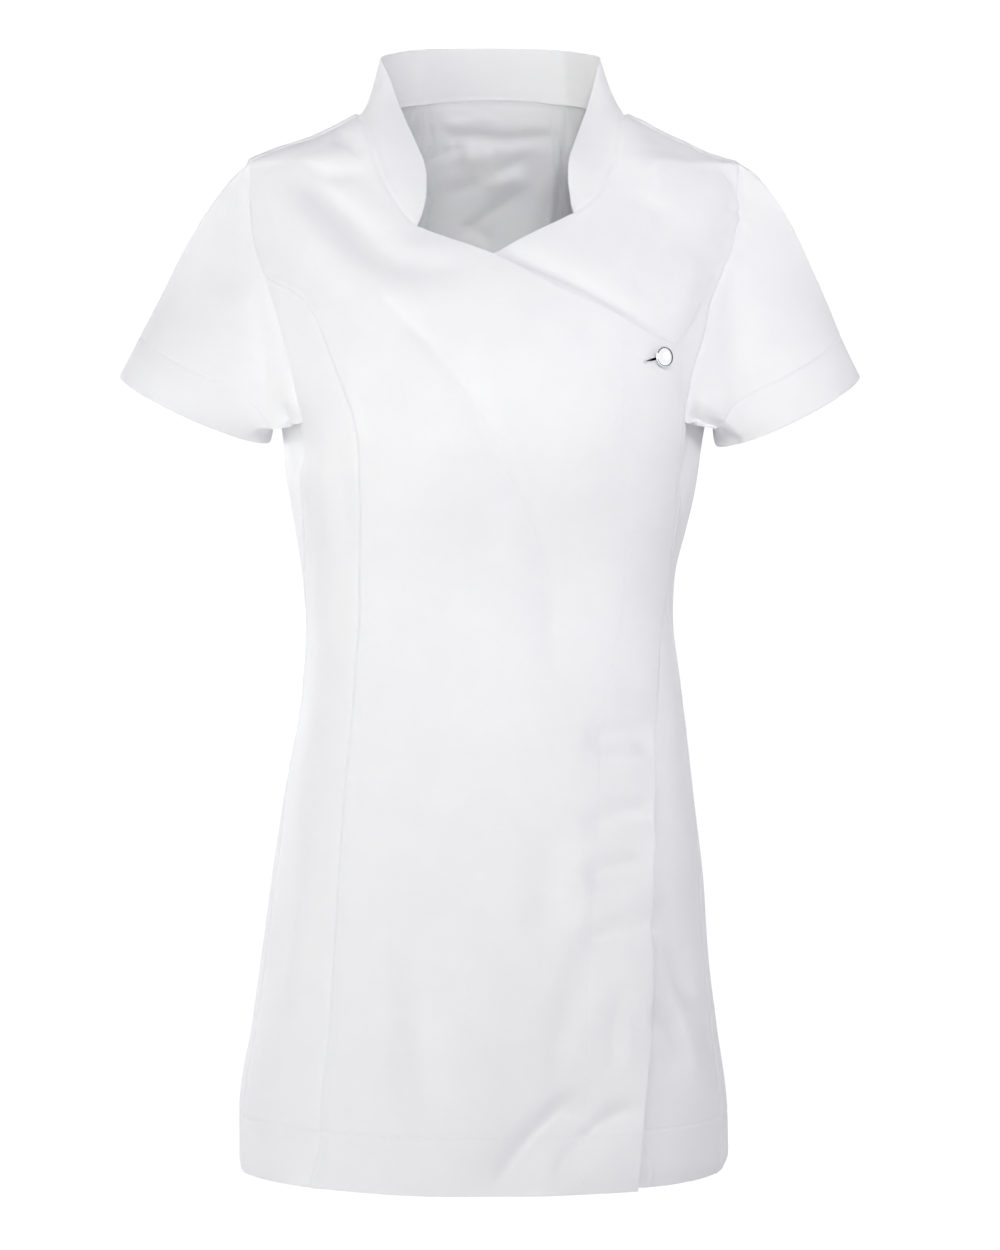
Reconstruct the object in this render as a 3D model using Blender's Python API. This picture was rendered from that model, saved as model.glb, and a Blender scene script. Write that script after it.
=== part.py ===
"""White wrap-front beautician tunic, filled out as if worn, with nobody in it.

Axes: +X to the wearer's left, +Y to the back, +Z up.  The origin is where the
wearer holds the tunic up: midway between the shoulders, at the height of the
point where the shoulder seams meet the collar.  Sizes are in millimetres until
the meshes are made.

The tunic is one smooth body form, cut into panels.  A place on the form is an
angle round the body (0 at the wearer's left side, 90 at the centre front, 180
at the right side, -90 at the centre back) and a height.  A panel is a grid
between two seams, laid on the form and given the thickness of the cloth.
"""

import math

import bmesh
import bpy
import numpy as np
from mathutils import Matrix, Vector

MM = 0.001

# ---------------------------------------------------------------- main sizes
HEM_HEIGHT = -756.5         # hem at the sides, below the neck point of the shoulder seam
HEM_DROP = 5.0              # the hem hangs this much lower at the centre front
CLOTH = 1.2                 # wall of one layer of cloth
SEAM_GAP = 0.5              # between two pieces that are sewn together
LAYER_LIFT = 3.0            # right front above the left front it lies on
LIFT_STARTS = (-91.0, 23.0)         # across: where the right front starts to rise, and over how much
LIFT_BELOW_NECK = (-88.0, 16.0)     # height: the same, going down from the neckline
COLLAR_CLOTH = 1.5
COLLAR_FOOT = 0.6           # from the collar seam up to the foot of the collar
COLLAR_END_SPACING = 1.5    # more than 1 sets the rows closer together at the rounded ends

# ------------------------------------------------------------ rows in panels
SKIRT_ROWS = 26             # hem to the level of the armhole
BUST_ROWS = 8               # princess seam from there to the armhole
ARMHOLE_ROWS = 8            # front armhole from the princess seam to the shoulder
BACK_ARMHOLE_ROWS = 18
NECKLINE_ROWS = 8           # crossed neckline, front edge to collar
COLLAR_ROWS = 8             # collar seam on a front
BACK_NECK_ROWS = 4          # collar seam on a side back
SLEEVE_ROWS = 8
COLLAR_HEIGHT_ROWS = 3

FRONT_COLUMNS = 14
UNDER_FRONT_COLUMNS = 12
SIDE_FRONT_COLUMNS = 5
SIDE_BACK_COLUMNS = 9
CENTRE_BACK_COLUMNS = 8

# ----------------------------------------------------------------- body form
# Level sections of the form.  squareness 2 is an ellipse, more is boxier.
SECTION_COLUMNS = ("height", "half_width", "front", "back", "shift", "squareness")
SECTIONS = (
    (-762.0, 171.5, 118.0, 121.0, -7.0, 2.15),
    (-757.0, 173.0, 118.0, 121.5, -6.5, 2.15),
    (-745.0, 176.0, 117.5, 122.0, -5.0, 2.15),
    (-720.0, 176.0, 116.0, 122.0, -5.0, 2.15),
    (-650.0, 166.5, 112.0, 120.0, -4.5, 2.15),
    (-580.0, 158.0, 108.0, 115.0, -3.0, 2.20),
    (-512.0, 151.0, 104.0, 108.0, -1.5, 2.20),
    (-444.0, 140.0, 98.0, 94.0, 0.5, 2.25),
    (-410.0, 135.4, 94.0, 84.0, 0.7, 2.25),
    (-366.0, 131.8, 92.0, 78.0, 0.0, 2.25),
    (-332.0, 134.0, 96.0, 79.0, -0.6, 2.30),
    (-297.0, 140.8, 105.0, 83.0, 0.4, 2.30),
    (-262.0, 148.0, 115.0, 88.0, 1.5, 2.30),
    (-228.0, 152.0, 121.0, 93.0, 2.0, 2.30),
    (-195.0, 158.0, 121.0, 97.0, 2.0, 2.30),
    (-160.0, 166.0, 113.0, 99.0, 2.0, 2.30),
    (-125.0, 172.0, 99.0, 98.0, 2.0, 2.30),
    (-95.0, 177.0, 82.0, 93.0, 2.5, 2.30),
    (-60.0, 179.5, 62.0, 83.0, 3.0, 2.30),
    (-37.0, 179.0, 50.0, 72.0, 2.5, 2.30),
    (-33.0, 171.5, 48.5, 70.5, -1.5, 2.30),
    (-29.0, 160.5, 47.0, 69.0, -3.0, 2.30),
    (-24.0, 148.0, 45.5, 67.0, -1.0, 2.30),
    (-20.0, 137.0, 44.0, 65.0, 1.4, 2.30),
    (-12.0, 118.5, 42.5, 62.5, 2.5, 2.30),
    (-6.0, 106.5, 41.0, 61.0, 2.3, 2.30),
    (0.0, 94.5, 40.0, 59.5, 2.0, 2.30),
    (20.0, 69.0, 36.0, 57.0, 0.0, 2.30),
)

# --------------------------------------------------------------------- seams
SHOULDER_ANGLE = 14.0       # the shoulder seam lies a little in front of the ridge
SHOULDER_HEIGHT = -36.0     # outer end of the shoulder seam
NAPE_HEIGHT = 18.5
UNDERARM_ANGLE = 30.0       # the side seam ends in front, at the armhole's lowest point
UNDERARM_HEIGHT = -224.0

PATH_COLUMNS = ("height", "angle")
SIDE_SEAM = (
    (HEM_HEIGHT, 18.0),
    (-640.0, 17.0),
    (-500.0, 13.0),
    (-400.0, 9.0),
    (-349.0, 13.0),
    (-310.0, 22.0),
    (-270.0, 28.0),
    (UNDERARM_HEIGHT, UNDERARM_ANGLE),
)
ARMHOLE_FRONT = (           # underarm end of the side seam up to the shoulder seam
    (UNDERARM_HEIGHT, UNDERARM_ANGLE),
    (-210.0, 31.5),
    (-195.0, 31.4),
    (-160.0, 29.2),
    (-125.0, 25.0),
    (-95.0, 19.0),
    (-60.0, 15.0),
    (SHOULDER_HEIGHT, SHOULDER_ANGLE),
)
ARMHOLE_BACK = (            # underarm end of the side seam, round the back, to the shoulder seam
    (UNDERARM_HEIGHT, UNDERARM_ANGLE),
    (-222.0, 20.0),
    (-217.0, 8.0),
    (-208.0, -5.0),
    (-194.0, -16.0),
    (-172.0, -23.5),
    (-145.0, -26.0),
    (-112.0, -23.0),
    (-80.0, -16.0),
    (-52.0, -6.0),
    (SHOULDER_HEIGHT, SHOULDER_ANGLE),
)
PRINCESS_COLUMNS = ("height", "right_across", "left_across")
PRINCESS_FRONT = (          # hem up to the armhole; across is the x seen from the front
    (HEM_HEIGHT, -126.5, 113.0),
    (-718.0, -119.0, 109.0),
    (-620.0, -110.8, 103.0),
    (-517.0, -105.0, 102.0),
    (-487.0, -102.8, 100.5),
    (-400.0, -95.5, 95.0),
    (-342.0, -92.1, 92.0),
    (-246.0, -92.2, 95.0),
    (-221.0, -96.3, 101.0),
    (-186.0, -109.1, 121.0),
    (-155.0, -121.4, 143.5),
    (-136.0, -135.6, 153.5),
)
PRINCESS_TOP = -121.0       # height where the front princess seam meets the armhole
JUNCTION_REACH = 5.0        # armhole rows nearer than this to that height are left to the junction
SIDE_FRONT_TIP = 0.975      # share of the lower armhole that the side front reaches
BUST_LEVEL = -221.0         # height of the princess seam on the row from the underarm
EDGE_COLUMNS = ("across", "height")
PRINCESS_BACK = (           # hem up to the neck
    (92.0, HEM_HEIGHT),
    (80.0, -600.0),
    (68.0, -480.0),
    (56.0, -370.0),
    (62.0, -250.0),
    (64.0, -120.0),
    (58.0, -40.0),
    (53.0, 13.5),
)
BACK_NECK = (               # from near the back princess seam to the shoulder seam
    (7.0, -26.0),
    (1.5, -4.0),
    (0.0, SHOULDER_ANGLE),
)
NAPE = (                    # centre back to near the back princess seam
    (NAPE_HEIGHT, -90.0),
    (NAPE_HEIGHT - 0.6, -75.0),
    (NAPE_HEIGHT - 2.4, -62.0),
)
BACK_NECK_BULGE = (         # the centre back's top edge rises by this, from seam to seam
    (0.0, 0.0),
    (0.25, 3.9),
    (0.5, 5.0),
    (0.75, 3.9),
    (1.0, 0.0),
)

# ------------------------------------------------------------- front edges
RIGHT_EDGE = (              # free edge of the right front, hem up to its corner
    (101.5, HEM_HEIGHT),
    (104.0, -720.0),
    (107.5, -680.0),
    (112.5, -632.0),
    (111.6, -572.0),
    (112.7, -501.0),
    (113.4, -467.0),
    (116.7, -428.0),
    (120.7, -392.0),
    (124.4, -355.0),
    (126.9, -311.0),
    (129.9, -279.0),
    (131.1, -246.0),
    (132.4, -214.0),
    (133.7, -173.0),
)
RIGHT_NECKLINE = (          # corner of the right front up to the collar's end
    (133.7, -173.0),
    (108.5, -162.5),
    (79.7, -146.7),
    (47.2, -131.6),
    (0.0, -107.5),
    (-30.0, -96.0),
    (-51.5, -87.2),
)
RIGHT_COLLAR_SEAM = (       # collar's end up to the shoulder seam
    (-51.5, -87.2),
    (-58.0, -81.0),
    (-65.4, -70.5),
    (-72.8, -58.4),
    (-78.7, -45.7),
    (-86.4, -21.6),
    (-90.0, -9.0),
)
LEFT_EDGE = (               # hidden edge of the left front, hem up to its corner
    (-64.0, HEM_HEIGHT),
    (-64.0, -450.0),
    (-64.0, -133.0),
)
LEFT_NECKLINE = (
    (-64.0, -133.0),
    (-30.0, -120.5),
    (0.0, -107.5),
    (27.0, -94.0),
    (58.8, -77.6),
)
LEFT_COLLAR_SEAM = (
    (58.8, -77.6),
    (71.1, -68.5),
    (79.8, -57.6),
    (85.9, -45.7),
    (90.5, -31.6),
    (92.5, -15.0),
    (91.8, -6.0),
)

# ------------------------------------------------------------------- collar
# Free edge of the collar, from the centre back to its rounded front ends.
# along is the share of the collar seam passed since the centre back.
COLLAR_COLUMNS = ("along", "across", "depth", "height")
COLLAR_EDGE_RIGHT = (
    (0.00, 0.0, 55.0, 56.0),
    (0.23, -50.0, 41.5, 53.5),
    (0.33, -66.0, 27.0, 49.5),
    (0.42, -79.5, 8.0, 42.5),
    (0.51, -73.0, -4.0, 29.0),
    (0.61, -65.2, -15.0, 6.5),
    (0.77, -51.4, -38.0, -26.8),
    (0.84, -46.9, -48.0, -38.3),
    (0.90, -44.6, -57.0, -52.0),
    (0.945, -44.6, -62.0, -62.0),
    (0.98, -46.6, -69.0, -74.5),
    (1.00, -49.9, -74.5, -83.8),
)
COLLAR_EDGE_LEFT = (
    (0.00, 0.0, 55.0, 56.0),
    (0.23, 50.0, 41.5, 53.0),
    (0.33, 65.0, 27.0, 49.0),
    (0.42, 79.5, 8.0, 42.5),
    (0.51, 76.0, -4.0, 29.0),
    (0.61, 69.5, -14.0, 5.0),
    (0.745, 60.0, -35.0, -23.0),
    (0.84, 56.0, -48.0, -36.0),
    (0.90, 54.9, -54.0, -46.0),
    (0.945, 55.0, -58.0, -54.5),
    (0.98, 56.6, -64.0, -66.0),
    (1.00, 58.0, -69.5, -74.2),
)

# ------------------------------------------------------------------ sleeves
# Each sleeve's hem is an ellipse: its centre, and from there to its outer end and
# to its front.  start is the way the cloth leaves the armhole.  X is away from the body.
SLEEVE_HEM = {
    "left": {
        "centre": (214.0, -2.0, -213.0),
        "out": (52.0, 0.0, 25.0),
        "front": (0.0, -46.0, -11.0),
        "start": (0.74, 0.00, -0.44),
    },
    "right": {
        "centre": (212.5, -2.0, -211.5),
        "out": (54.0, 0.0, 24.0),
        "front": (0.0, -46.0, -10.0),
        "start": (0.69, 0.00, -0.61),
    },
}
SLEEVE_END = (0.50, 0.00, -0.87)                # way the cloth runs at the hem
ARMHOLE_CENTRE = (-6.0, -131.0)                 # depth and height
ARMHOLE_REACH = (58.0, 96.0)                    # half depth and half height

# -------------------------------------------------------------------- folds
# Soft ridges (+) and troughs (-) in the front, as seen from the front.
FRONT_FOLDS = (             # start x and z, end x and z, width, depth
    (-141.0, -62.0, -92.0, -130.0, 13.0, 2.6),
    (-128.0, -48.0, -70.0, -118.0, 14.0, -2.8),
    (-70.0, -118.0, -26.0, -116.0, 12.0, -1.6),
    (133.0, -76.0, 104.0, -138.0, 14.0, -2.4),
    (-76.0, -135.0, -38.0, -170.0, 22.0, 2.0),
    (-38.0, -170.0, 28.0, -290.0, 24.0, 3.0),
    (28.0, -290.0, 46.0, -430.0, 22.0, 2.4),
    (86.0, -640.0, 54.0, -735.0, 16.0, -2.4),
    (64.0, -700.0, -8.0, -760.0, 18.0, -3.0),
    (-52.0, -620.0, -46.0, -715.0, 15.0, -2.2),
    (32.0, -500.0, 50.0, -575.0, 16.0, -2.0),
    (-8.0, -560.0, -20.0, -740.0, 24.0, 1.8),
)
BACK_FOLDS = (
    (-96.0, -330.0, -20.0, -372.0, 15.0, -2.4),
    (92.0, -318.0, 24.0, -366.0, 14.0, -2.0),
    (-60.0, -395.0, 34.0, -408.0, 13.0, -1.8),
    (-48.0, -560.0, -62.0, -750.0, 20.0, -2.6),
    (44.0, -590.0, 50.0, -752.0, 22.0, -2.2),
    (0.0, -520.0, -6.0, -745.0, 24.0, 2.0),
    (-120.0, -95.0, -84.0, -200.0, 16.0, -2.0),
    (118.0, -102.0, 88.0, -190.0, 17.0, -2.0),
)
FOLD_END = 22.0             # a fold fades out over this length
FOLD_SIDE_START = 10.0      # and towards the side seams, from this depth of the form
FOLD_SIDE_RANGE = 30.0

# ------------------------------------------------------------------- button
BUTTON_ACROSS = 119.0
BUTTON_HEIGHT = -180.5
BUTTON_RADIUS = 7.25
BUTTON_RIM = 1.5            # height of the rim
BUTTON_DOME = 2.6           # height of the middle
SHANK_RADIUS = 1.6
SHANK_CLEARANCE = 0.8       # above the left front, which is flat between its corners
RIM_ROUND = 0.5             # rounding of the rim's edges
RIM_DIP = 1.3               # from the rim in to the hollow beside the dome
DOME_SHOULDER = 0.55        # share of the radius where the dome starts to flatten
BUTTONHOLE_LENGTH = 11.0    # from the shank towards the centre front
BUTTONHOLE_HALF_WIDTH = 0.7
BUTTONHOLE_CUT_DEPTH = 5.0  # far enough to pass through the right front
BUTTONHOLE_ARC = 110.0      # the slit's round end turns this far to each side
BUTTONHOLE_ARC_STEPS = 10
SHANK_ROOM = 0.5
BUTTON_SIDES = 24

# ------------------------------------------------------------------- meshes
FINE = 300                  # steps of a path before it is sampled
SOFT_EDGE_ANGLE = 50.0      # a sharper bend between two faces stays a crisp edge
BUTTON_EDGE_ANGLE = 40.0
TOP_BULGE_POWER = 6         # keeps the bulge of the top edge in the top rows

# ---------------------------------------------------------------- materials
WHITE_CLOTH = (0.86, 0.86, 0.88)
CLOTH_ROUGHNESS = 0.55
POLISHED_METAL = (0.78, 0.78, 0.80)
METAL_ROUGHNESS = 0.18


# -------------------------------------------------------------- small tools
def column(table, names, name):
    """One named column of a table as an array."""
    return np.array([row[names.index(name)] for row in table], dtype=float)


def pairs(table, names, first, second):
    """Two named columns of a table as points."""
    return np.stack([column(table, names, first), column(table, names, second)], axis=1)


def smooth_table(knots, values):
    """A smooth curve through (knots, values) that never overshoots between them."""
    order = np.argsort(knots)
    knots = np.asarray(knots, dtype=float)[order]
    values = np.asarray(values, dtype=float)[order]
    steps = np.diff(knots)
    rises = np.diff(values) / steps
    slopes = np.zeros_like(values)
    same_way = rises[:-1] * rises[1:] > 0.0
    both = rises[:-1] + rises[1:]
    safe = np.where(same_way, both, 1.0)
    slopes[1:-1] = np.where(same_way, 2.0 * rises[:-1] * rises[1:] / safe, 0.0)
    slopes[0] = rises[0]
    slopes[-1] = rises[-1]

    def value(at):
        at = np.clip(np.asarray(at, dtype=float), knots[0], knots[-1])
        k = np.clip(np.searchsorted(knots, at) - 1, 0, len(steps) - 1)
        t = (at - knots[k]) / steps[k]
        start = (1.0 + 2.0 * t) * (1.0 - t) ** 2 * values[k]
        start_slope = t * (1.0 - t) ** 2 * steps[k] * slopes[k]
        end = t * t * (3.0 - 2.0 * t) * values[k + 1]
        end_slope = t * t * (t - 1.0) * steps[k] * slopes[k + 1]
        return start + start_slope + end + end_slope

    return value


def smooth_step(share):
    """0 below 0, 1 above 1 and a soft ramp between."""
    share = np.clip(share, 0.0, 1.0)
    return share * share * (3.0 - 2.0 * share)


def even_path(points, intervals):
    """Evenly spaced points along a smooth path through the given points."""
    points = np.array(points, dtype=float)
    lengths = np.linalg.norm(np.diff(points, axis=0), axis=1)
    along = np.concatenate(([0.0], np.cumsum(lengths)))
    curves = [smooth_table(along, points[:, k]) for k in range(points.shape[1])]
    fine = np.linspace(0.0, along[-1], FINE + 1)
    drawn = np.stack([curve(fine) for curve in curves], axis=1)
    drawn_lengths = np.linalg.norm(np.diff(drawn, axis=0), axis=1)
    passed = np.concatenate(([0.0], np.cumsum(drawn_lengths)))
    wanted = np.linspace(0.0, passed[-1], intervals + 1)
    return np.stack([np.interp(wanted, passed, drawn[:, k]) for k in range(points.shape[1])], axis=1)


def join_paths(*paths):
    """Paths end to end, with each shared point kept once."""
    return np.concatenate([paths[0]] + [path[1:] for path in paths[1:]])


# ---------------------------------------------------------------- body form
SECTION = {}
for section_name in SECTION_COLUMNS[1:]:
    SECTION[section_name] = smooth_table(
        column(SECTIONS, SECTION_COLUMNS, "height"),
        column(SECTIONS, SECTION_COLUMNS, section_name),
    )


def form_point(angle, height):
    """The place on the smooth form at an angle (degrees) and a height."""
    turn = np.radians(angle)
    power = SECTION["squareness"](height)
    cosine = np.cos(turn)
    sine = np.sin(turn)
    reach = (np.abs(cosine) ** power + np.abs(sine) ** power) ** (-1.0 / power)
    depth = np.where(sine > 0.0, SECTION["front"](height), SECTION["back"](height))
    x = SECTION["shift"](height) + SECTION["half_width"](height) * reach * cosine
    y = -depth * reach * sine
    return np.stack([x, y, height + 0.0 * x], axis=-1)


def angle_at(across, height, front=True):
    """The angle at which the form has this x, on its front or its back."""
    half_width = SECTION["half_width"](height)
    power = SECTION["squareness"](height)
    share = np.clip((across - SECTION["shift"](height)) / half_width, -1.0, 1.0)
    rise = (1.0 - np.abs(share) ** power) ** (1.0 / power)
    return np.degrees(np.arctan2(rise if front else -rise, share))


def form_normal(angle, height):
    """Unit vector out of the form."""
    round_step = form_point(angle - 0.5, height) - form_point(angle + 0.5, height)
    up_step = form_point(angle, height + 0.5) - form_point(angle, height - 0.5)
    normal = np.cross(round_step, up_step)
    return normal / np.linalg.norm(normal, axis=-1, keepdims=True)


def fold_rise(point):
    """How far the folds push the cloth out at a place on the form."""
    rise = np.zeros(point.shape[:-1])
    for folds, side in ((FRONT_FOLDS, -1.0), (BACK_FOLDS, 1.0)):
        on_side = smooth_step((side * point[..., 1] - FOLD_SIDE_START) / FOLD_SIDE_RANGE)
        for x0, z0, x1, z1, width, depth in folds:
            run = np.array([x1 - x0, z1 - z0])
            length = np.linalg.norm(run)
            run = run / length
            from_start = point[..., [0, 2]] - np.array([x0, z0])
            along = from_start @ run
            aside = from_start[..., 0] * run[1] - from_start[..., 1] * run[0]
            ends = smooth_step(along / FOLD_END + 0.5) * smooth_step((length - along) / FOLD_END + 0.5)
            rise = rise + depth * on_side * ends * np.exp(-((aside / width) ** 2))
    return rise


def cloth_point(angle, height, lift=0.0):
    """The outer face of the cloth: the form with its folds, moved out by lift."""
    base = form_point(angle, height)
    normal = form_normal(angle, height)
    return base + normal * (fold_rise(base) + lift)[..., None]


def overlap_lift(angle, height):
    """The right front rises over the left front's hidden edge and neckline."""
    x = form_point(angle, height)[..., 0]
    past_edge = smooth_step((x - LIFT_STARTS[0]) / LIFT_STARTS[1])
    below_neck = smooth_step((LIFT_BELOW_NECK[0] - height) / LIFT_BELOW_NECK[1])
    return LAYER_LIFT * past_edge * below_neck


# -------------------------------------------------------------- seam paths
def mirrored(path):
    """A path of (angle, height) on the other side of the body."""
    return np.stack([180.0 - path[:, 0], path[:, 1]], axis=1)


def table_path(table):
    """A (height, angle) table as an even path of (angle, height)."""
    return even_path(pairs(table, PATH_COLUMNS, "angle", "height"), FINE)


def across_path(table, front=True):
    """A table of x and height as an even path of (angle, height)."""
    path = even_path(pairs(table, EDGE_COLUMNS, "across", "height"), FINE)
    return np.stack([angle_at(path[:, 0], path[:, 1], front), path[:, 1]], axis=1)


def along_form(path, intervals, spacing=1.0):
    """A path of (angle, height) sampled in millimetres, evenly or closer at its start."""
    place = form_point(path[:, 0], path[:, 1])
    lengths = np.linalg.norm(np.diff(place, axis=0), axis=1)
    passed = np.concatenate(([0.0], np.cumsum(lengths)))
    wanted = passed[-1] * np.linspace(0.0, 1.0, intervals + 1) ** spacing
    return np.stack([np.interp(wanted, passed, path[:, k]) for k in (0, 1)], axis=1)


armhole_front_angle = smooth_table(
    column(ARMHOLE_FRONT, PATH_COLUMNS, "height")[1:],
    column(ARMHOLE_FRONT, PATH_COLUMNS, "angle")[1:],
)
JUNCTION = (float(armhole_front_angle(PRINCESS_TOP)), PRINCESS_TOP)


def side_seam_path():
    return along_form(table_path(SIDE_SEAM), SKIRT_ROWS)


def lower_armhole_path():
    """Armhole from the side seam up to just short of the princess seam."""
    points = pairs(ARMHOLE_FRONT, PATH_COLUMNS, "angle", "height")
    lower = points[points[:, 1] < PRINCESS_TOP - JUNCTION_REACH]
    path = even_path(np.vstack([lower, JUNCTION]), FINE)
    return along_form(path[:int(FINE * SIDE_FRONT_TIP)], BUST_ROWS)


def upper_armhole_path():
    """Armhole from the princess seam up to the shoulder seam."""
    points = pairs(ARMHOLE_FRONT, PATH_COLUMNS, "angle", "height")
    upper = points[points[:, 1] > PRINCESS_TOP + JUNCTION_REACH]
    return along_form(even_path(np.vstack([JUNCTION, upper]), FINE), ARMHOLE_ROWS)


def back_armhole_path():
    return along_form(table_path(ARMHOLE_BACK), BACK_ARMHOLE_ROWS)


def front_princess_path(side_name):
    """Front princess seam from the hem to the armhole, as (angle, height)."""
    heights = column(PRINCESS_FRONT, PRINCESS_COLUMNS, "height")
    across = column(PRINCESS_FRONT, PRINCESS_COLUMNS, side_name)
    angles = angle_at(across, heights)
    top_angle = JUNCTION[0] if side_name == "left_across" else 180.0 - JUNCTION[0]
    points = list(zip(angles, heights)) + [(top_angle, PRINCESS_TOP)]
    low = [point for point in points if point[1] <= BUST_LEVEL]
    high = [point for point in points if point[1] >= BUST_LEVEL]
    skirt = along_form(even_path(low, FINE), SKIRT_ROWS)
    bust = along_form(even_path(high, FINE), BUST_ROWS)
    return join_paths(skirt, bust)


def back_princess_path():
    """Back princess seam on the wearer's left, from the hem to the neck."""
    path = across_path(PRINCESS_BACK, front=False)
    split = int(np.searchsorted(path[:, 1], UNDERARM_HEIGHT))
    upper_rows = BACK_ARMHOLE_ROWS - BACK_NECK_ROWS
    return join_paths(along_form(path[:split + 1], SKIRT_ROWS), along_form(path[split:], upper_rows))


def back_neck_path():
    """Collar seam from the back princess seam to the shoulder seam, on the left."""
    top = back_princess_path()[-1]
    points = np.vstack([top, pairs(BACK_NECK, PATH_COLUMNS, "angle", "height")])
    return along_form(even_path(points, FINE), BACK_NECK_ROWS)


def front_edge_path(edge, neckline, collar_seam, side):
    """Free edge, neckline and collar seam of a front, ending at the shoulder seam."""
    free = along_form(across_path(edge), SKIRT_ROWS)
    crossed = along_form(across_path(neckline), NECKLINE_ROWS)
    rising = across_path(collar_seam)
    corner = SHOULDER_ANGLE if side > 0.0 else 180.0 - SHOULDER_ANGLE
    rising = np.vstack([rising, [corner, 0.0]])
    return join_paths(free, crossed, along_form(rising, COLLAR_ROWS, COLLAR_END_SPACING))


# ------------------------------------------------------------ solid meshes
def patch(left, right, columns, top_bulge=None):
    """Rows of (angle, height) places from the left path to the right one."""
    share = np.linspace(0.0, 1.0, columns + 1)
    rows = left[:, None, :] * (1.0 - share)[None, :, None] + right[:, None, :] * share[None, :, None]
    if top_bulge is not None:
        rise = np.linspace(0.0, 1.0, len(left)) ** TOP_BULGE_POWER
        rows[:, :, 1] += rise[:, None] * top_bulge(share)[None, :]
    above_hem = np.clip(1.0 - np.arange(len(left)) / SKIRT_ROWS, 0.0, 1.0) ** 3
    in_front = np.clip(np.sin(np.radians(rows[:, :, 0])), 0.0, 1.0) ** 2
    rows[:, :, 1] -= HEM_DROP * above_hem[:, None] * in_front
    return rows


def unit(vectors):
    return vectors / np.linalg.norm(vectors, axis=-1, keepdims=True)


def square_step(edge, inside, closed=False):
    """Unit steps from an edge towards the points inside it, square to the edge."""
    if closed:
        along = unit(np.roll(edge, -1, axis=0) - np.roll(edge, 1, axis=0))
    else:
        along = unit(np.gradient(edge, axis=0))
    step = inside - edge
    return unit(step - (step * along).sum(axis=-1, keepdims=True) * along)


def draw_in(points):
    """Move the outermost points of a grid in by half the seam gap, square to each seam."""
    moved = points.copy()
    half = SEAM_GAP / 2.0
    moved[:, 0] += square_step(points[:, 0], points[:, 1]) * half
    moved[:, -1] += square_step(points[:, -1], points[:, -2]) * half
    moved[-1] += square_step(points[-1], points[-2]) * half
    return moved


def mesh_object(name, vertices, faces, material):
    """A named object in metres from vertices in millimetres."""
    mesh = bpy.data.meshes.new(name)
    mesh.from_pydata([tuple(float(c) * MM for c in vertex) for vertex in vertices], [], faces)
    mesh.validate()
    made = bmesh.new()
    made.from_mesh(mesh)
    bmesh.ops.recalc_face_normals(made, faces=made.faces)
    made.to_mesh(mesh)
    made.free()
    mesh.materials.append(material)
    mesh.shade_smooth()
    mesh.set_sharp_from_angle(angle=math.radians(SOFT_EDGE_ANGLE))
    thing = bpy.data.objects.new(name, mesh)
    bpy.context.scene.collection.objects.link(thing)
    return thing


def triangles(a, b, c, d):
    """A four-sided face as two triangles that share the corner pair b, d."""
    return [(a, b, d), (b, c, d)]


def wall_faces(rows, columns, closed=False):
    """Faces of a sheet with two faces: outer grid first, inner grid after it."""
    layer = rows * columns
    faces = []
    last = columns if closed else columns - 1
    for r in range(rows - 1):
        for c in range(last):
            a = r * columns + c
            b = r * columns + (c + 1) % columns
            d = a + columns
            e = b + columns
            faces += triangles(a, b, e, d)
            faces += triangles(layer + b, layer + a, layer + d, layer + e)
    for c in range(last):
        a = c
        b = (c + 1) % columns
        faces += triangles(b, a, layer + a, layer + b)
        top = (rows - 1) * columns
        faces += triangles(top + a, top + b, layer + top + b, layer + top + a)
    if not closed:
        for r in range(rows - 1):
            a = r * columns
            d = a + columns
            faces += triangles(a, d, layer + d, layer + a)
            a += columns - 1
            d += columns - 1
            faces += triangles(d, a, layer + a, layer + d)
    return faces


def wall(name, outer, inner, material, closed=False):
    """A closed solid between an outer and an inner grid of points."""
    rows, columns = outer.shape[:2]
    vertices = np.concatenate([outer.reshape(-1, 3), inner.reshape(-1, 3)])
    return mesh_object(name, vertices, wall_faces(rows, columns, closed), material)


def panel(name, places, lift=None):
    """A panel of cloth on the form, from a grid of (angle, height) places."""
    angle = places[..., 0]
    height = places[..., 1]
    raised = lift(angle, height) if lift is not None else np.zeros(angle.shape)
    outer = cloth_point(angle, height, raised)
    inner = cloth_point(angle, height, raised - CLOTH)
    return wall(name, draw_in(outer), draw_in(inner), cloth_material(name))


# ------------------------------------------------------------------ pieces
def make_material(name, colour, roughness, metallic):
    material = bpy.data.materials.new(name)
    material.use_nodes = True
    shader = material.node_tree.nodes["Principled BSDF"]
    shader.inputs["Base Color"].default_value = (*colour, 1.0)
    shader.inputs["Roughness"].default_value = roughness
    shader.inputs["Metallic"].default_value = metallic
    return material


def cloth_material(name):
    return make_material(name + "_cloth", WHITE_CLOTH, CLOTH_ROUGHNESS, 0.0)


def make_fronts():
    """The two centre fronts, the right one lying over the left one."""
    right_outline = join_paths(front_princess_path("right_across"), mirrored(upper_armhole_path()))
    right_free = front_edge_path(RIGHT_EDGE, RIGHT_NECKLINE, RIGHT_COLLAR_SEAM, -1.0)
    panel("right_front", patch(right_outline, right_free, FRONT_COLUMNS), overlap_lift)
    left_outline = join_paths(front_princess_path("left_across"), upper_armhole_path())
    left_free = front_edge_path(LEFT_EDGE, LEFT_NECKLINE, LEFT_COLLAR_SEAM, 1.0)
    panel("left_front", patch(left_outline, left_free, UNDER_FRONT_COLUMNS))


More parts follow.
